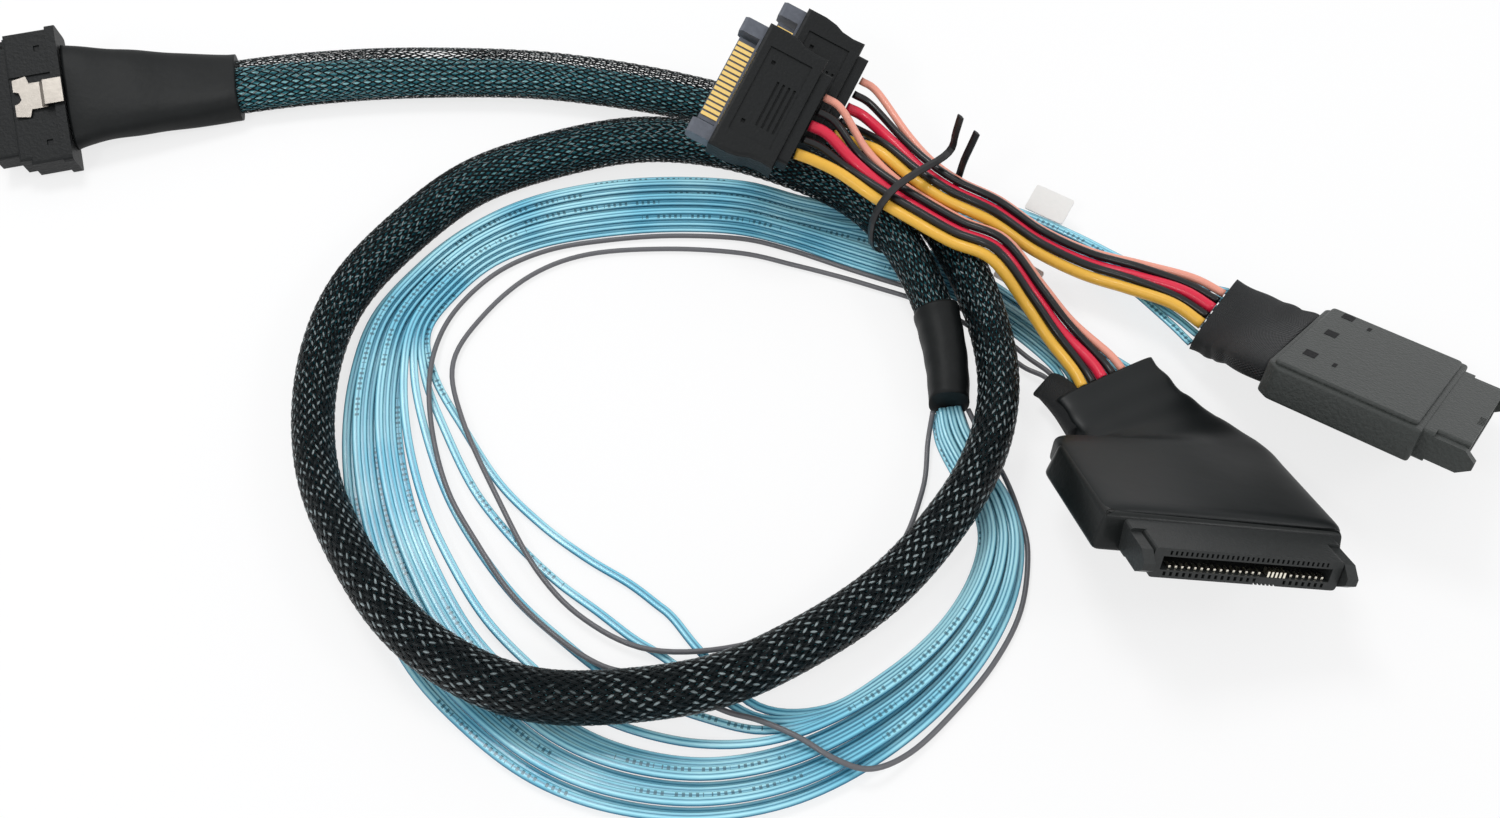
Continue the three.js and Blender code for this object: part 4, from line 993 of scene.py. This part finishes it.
def lower_tape_flap():
    """Loose cut end of the lower tape, sticking out past the wrap and thinning to its tip."""
    aside, reach, steps = -9.5, 6.0, 18
    out, left = LOWER_TAIL.out, LOWER_TAIL.left
    base = LOWER_TAIL.at + left * aside
    rows = [base - out * 8 + (0, 0, 0.6), base - out * 2 + (0, 0, 0.4),
            base + out * reach * 0.6 - left * 0.7, base + out * reach - left * 1.6 - (0, 0, 0.8)]
    sizes = np.column_stack([np.linspace(9, 7.0, steps + 1), np.linspace(4.2, 1.2, steps + 1)])
    piece = swept("lower_tape_flap", smooth(rows, steps), sizes, oval(24, 0.5), CLOTH_TAPE)
    stand_for(piece, None)


def host_boot():
    """Tube shrunk over the rear of the host plug and the start of the sleeve, creased where it narrows,
    with a small lip at its mouth."""
    steps, lap, over_wide, over_high = 48, 3.0, 1.4, 0.9
    lip = (0.1, 0.25, 0.3)
    x, y, low, wide, high = SLEEVE_ROUTE[0]
    mouth = np.array([x, y, low + high / 2]) + SLEEVE_START * lap
    points, across = bent_line(HOST, HOST_LENGTH + SEAT_GAP, mouth, SLEEVE_START, steps)
    share = np.linspace(0, 1, steps + 1)
    crease = 0.22 * np.sin(share * 19) * np.exp(-((share - 0.35) / 0.3) ** 2)
    width = BOOT_ROOT[0] + (wide + over_wide - BOOT_ROOT[0]) * share**0.8 + crease
    height = BOOT_ROOT[1] + (high + over_high - BOOT_ROOT[1]) * share + crease
    width[-len(lip):] += lip
    piece = swept("host_boot_tube", points, np.column_stack([width, height]), oval(40, 0.62), SHRINK_TUBE,
                  across, (-HOST.axis(1), SLEEVE_START))
    stand_for(piece, "host_boot")


def sleeve_end():
    """Tube shrunk over the sleeve's loose end, tapering to the strands, with slight ripples."""
    rows = [(39.4, 16, 7.4), (40.05, 12.2, 6.8), (40.8, 6, 6.2), (41.1, 0, 5.7), (40.9, -6.6, 5.6)]
    steps = 24
    (wide, high), (narrows, lowers) = (9.8, 11.2), (1.3, 2.2)
    share = np.linspace(0, 1, steps + 1)
    ripple = 0.12 * np.sin(share * 25)
    sizes = np.column_stack([wide - narrows * share + ripple, high - lowers * share])
    piece = swept("sleeve_end_tube", smooth(rows, steps), sizes, oval(28, 0.85), SHRINK_TUBE)
    stand_for(piece, "sleeve_end_shrink")


lower_hood()
right_hood()
mouth_pins("lower_mouth_pins", LOWER.place)
mouth_pins("right_mouth_pins", RIGHT.over)
gilt_contacts("inlet_a_contacts", INLET_A)
gilt_contacts("inlet_b_contacts", INLET_B)
lower_tape()
right_tape()
lower_tape_flap()
host_boot()
sleeve_end()


# Looks of the solid parts
def dress(material, *nodes):
    """Gives solid parts their material."""
    for node in nodes:
        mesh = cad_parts[node].data
        mesh.materials.clear()
        mesh.materials.append(material)


dress(BLACK_MOULDING, "host_plug_housing", "power_inlet_a_body", "power_inlet_b_body")
dress(SLATE_INSULATOR, "power_inlet_a_tongue", "power_inlet_b_tongue")
dress(RECEPTACLE_MOULDING, "drive_lower_receptacle")
dress(GREY_MOULDING, "drive_right_receptacle")
dress(LATCH_STEEL, "host_latch_spring")
dress(CARD_GREEN, "host_paddle_card")
dress(TIE_BLACK, "twist_tie")
dress(LABEL_WHITE, "flag_label_1", "flag_label_2")


# Table and light
def table():
    """A wide white table top under the harness. Where it is seen, part of its white is its own, so the
    shadows on it stay faint."""
    half, gap = 3000.0, 0.01
    low = -LAYOUT_SHIFT[2] - gap
    corners = np.array([(-half, -half, low), (half, -half, low), (half, half, low), (-half, half, low)])
    shader = plain("table_white", (0.94, 0.94, 0.95), 0.9, specular=0.0)
    glow = shader.add("ShaderNodeEmission")
    both = shader.add("ShaderNodeMixShader")
    seen = shader.math("MULTIPLY", seen_rays(shader.nodes, shader.links), TABLE_OWN_WHITE)
    shader.join(seen, both.inputs[0])
    shader.join(shader.surface.outputs[0], both.inputs[1])
    shader.join(glow.outputs[0], both.inputs[2])
    shader.join(both.outputs[0], shader.nodes["Material Output"].inputs["Surface"])
    make_mesh("table_top", corners, np.array([[0, 1, 2, 3]]), None, shader.material, flat=True)


def seen_rays(nodes, links):
    """One where a ray comes from the camera, a mirror or clear plastic, and nought where light falls."""
    rays = nodes.new("ShaderNodeLightPath")
    total = rays.outputs["Is Camera Ray"]
    for kind in ("Is Glossy Ray", "Is Transmission Ray"):
        larger = nodes.new("ShaderNodeMath")
        larger.operation = "MAXIMUM"
        links.new(total, larger.inputs[0])
        links.new(rays.outputs[kind], larger.inputs[1])
        total = larger.outputs[0]
    return total


def lights():
    """A white room, seen and mirrored at full white, and three soft lamps."""
    world = bpy.data.worlds.new("room")
    bpy.context.scene.world = world
    world.use_nodes = True
    tree = world.node_tree
    room = tree.nodes["Background"]
    room.inputs[0].default_value = (0.99, 0.995, 1.0, 1)
    strength = tree.nodes.new("ShaderNodeMapRange")
    strength.inputs["To Min"].default_value = ROOM_LIGHT
    strength.inputs["To Max"].default_value = 1.0
    tree.links.new(seen_rays(tree.nodes, tree.links), strength.inputs["Value"])
    tree.links.new(strength.outputs[0], room.inputs[1])
    for name, spot, tilt, size, power in LAMPS:
        data = bpy.data.lights.new(name, "AREA")
        data.size = size
        data.energy = power
        lamp = bpy.data.objects.new(name, data)
        lamp.location = spot
        lamp.rotation_euler = tuple(math.radians(v) for v in tilt)
        bpy.context.scene.collection.objects.link(lamp)


table()
lights()
bpy.context.scene.view_settings.view_transform = "Standard"
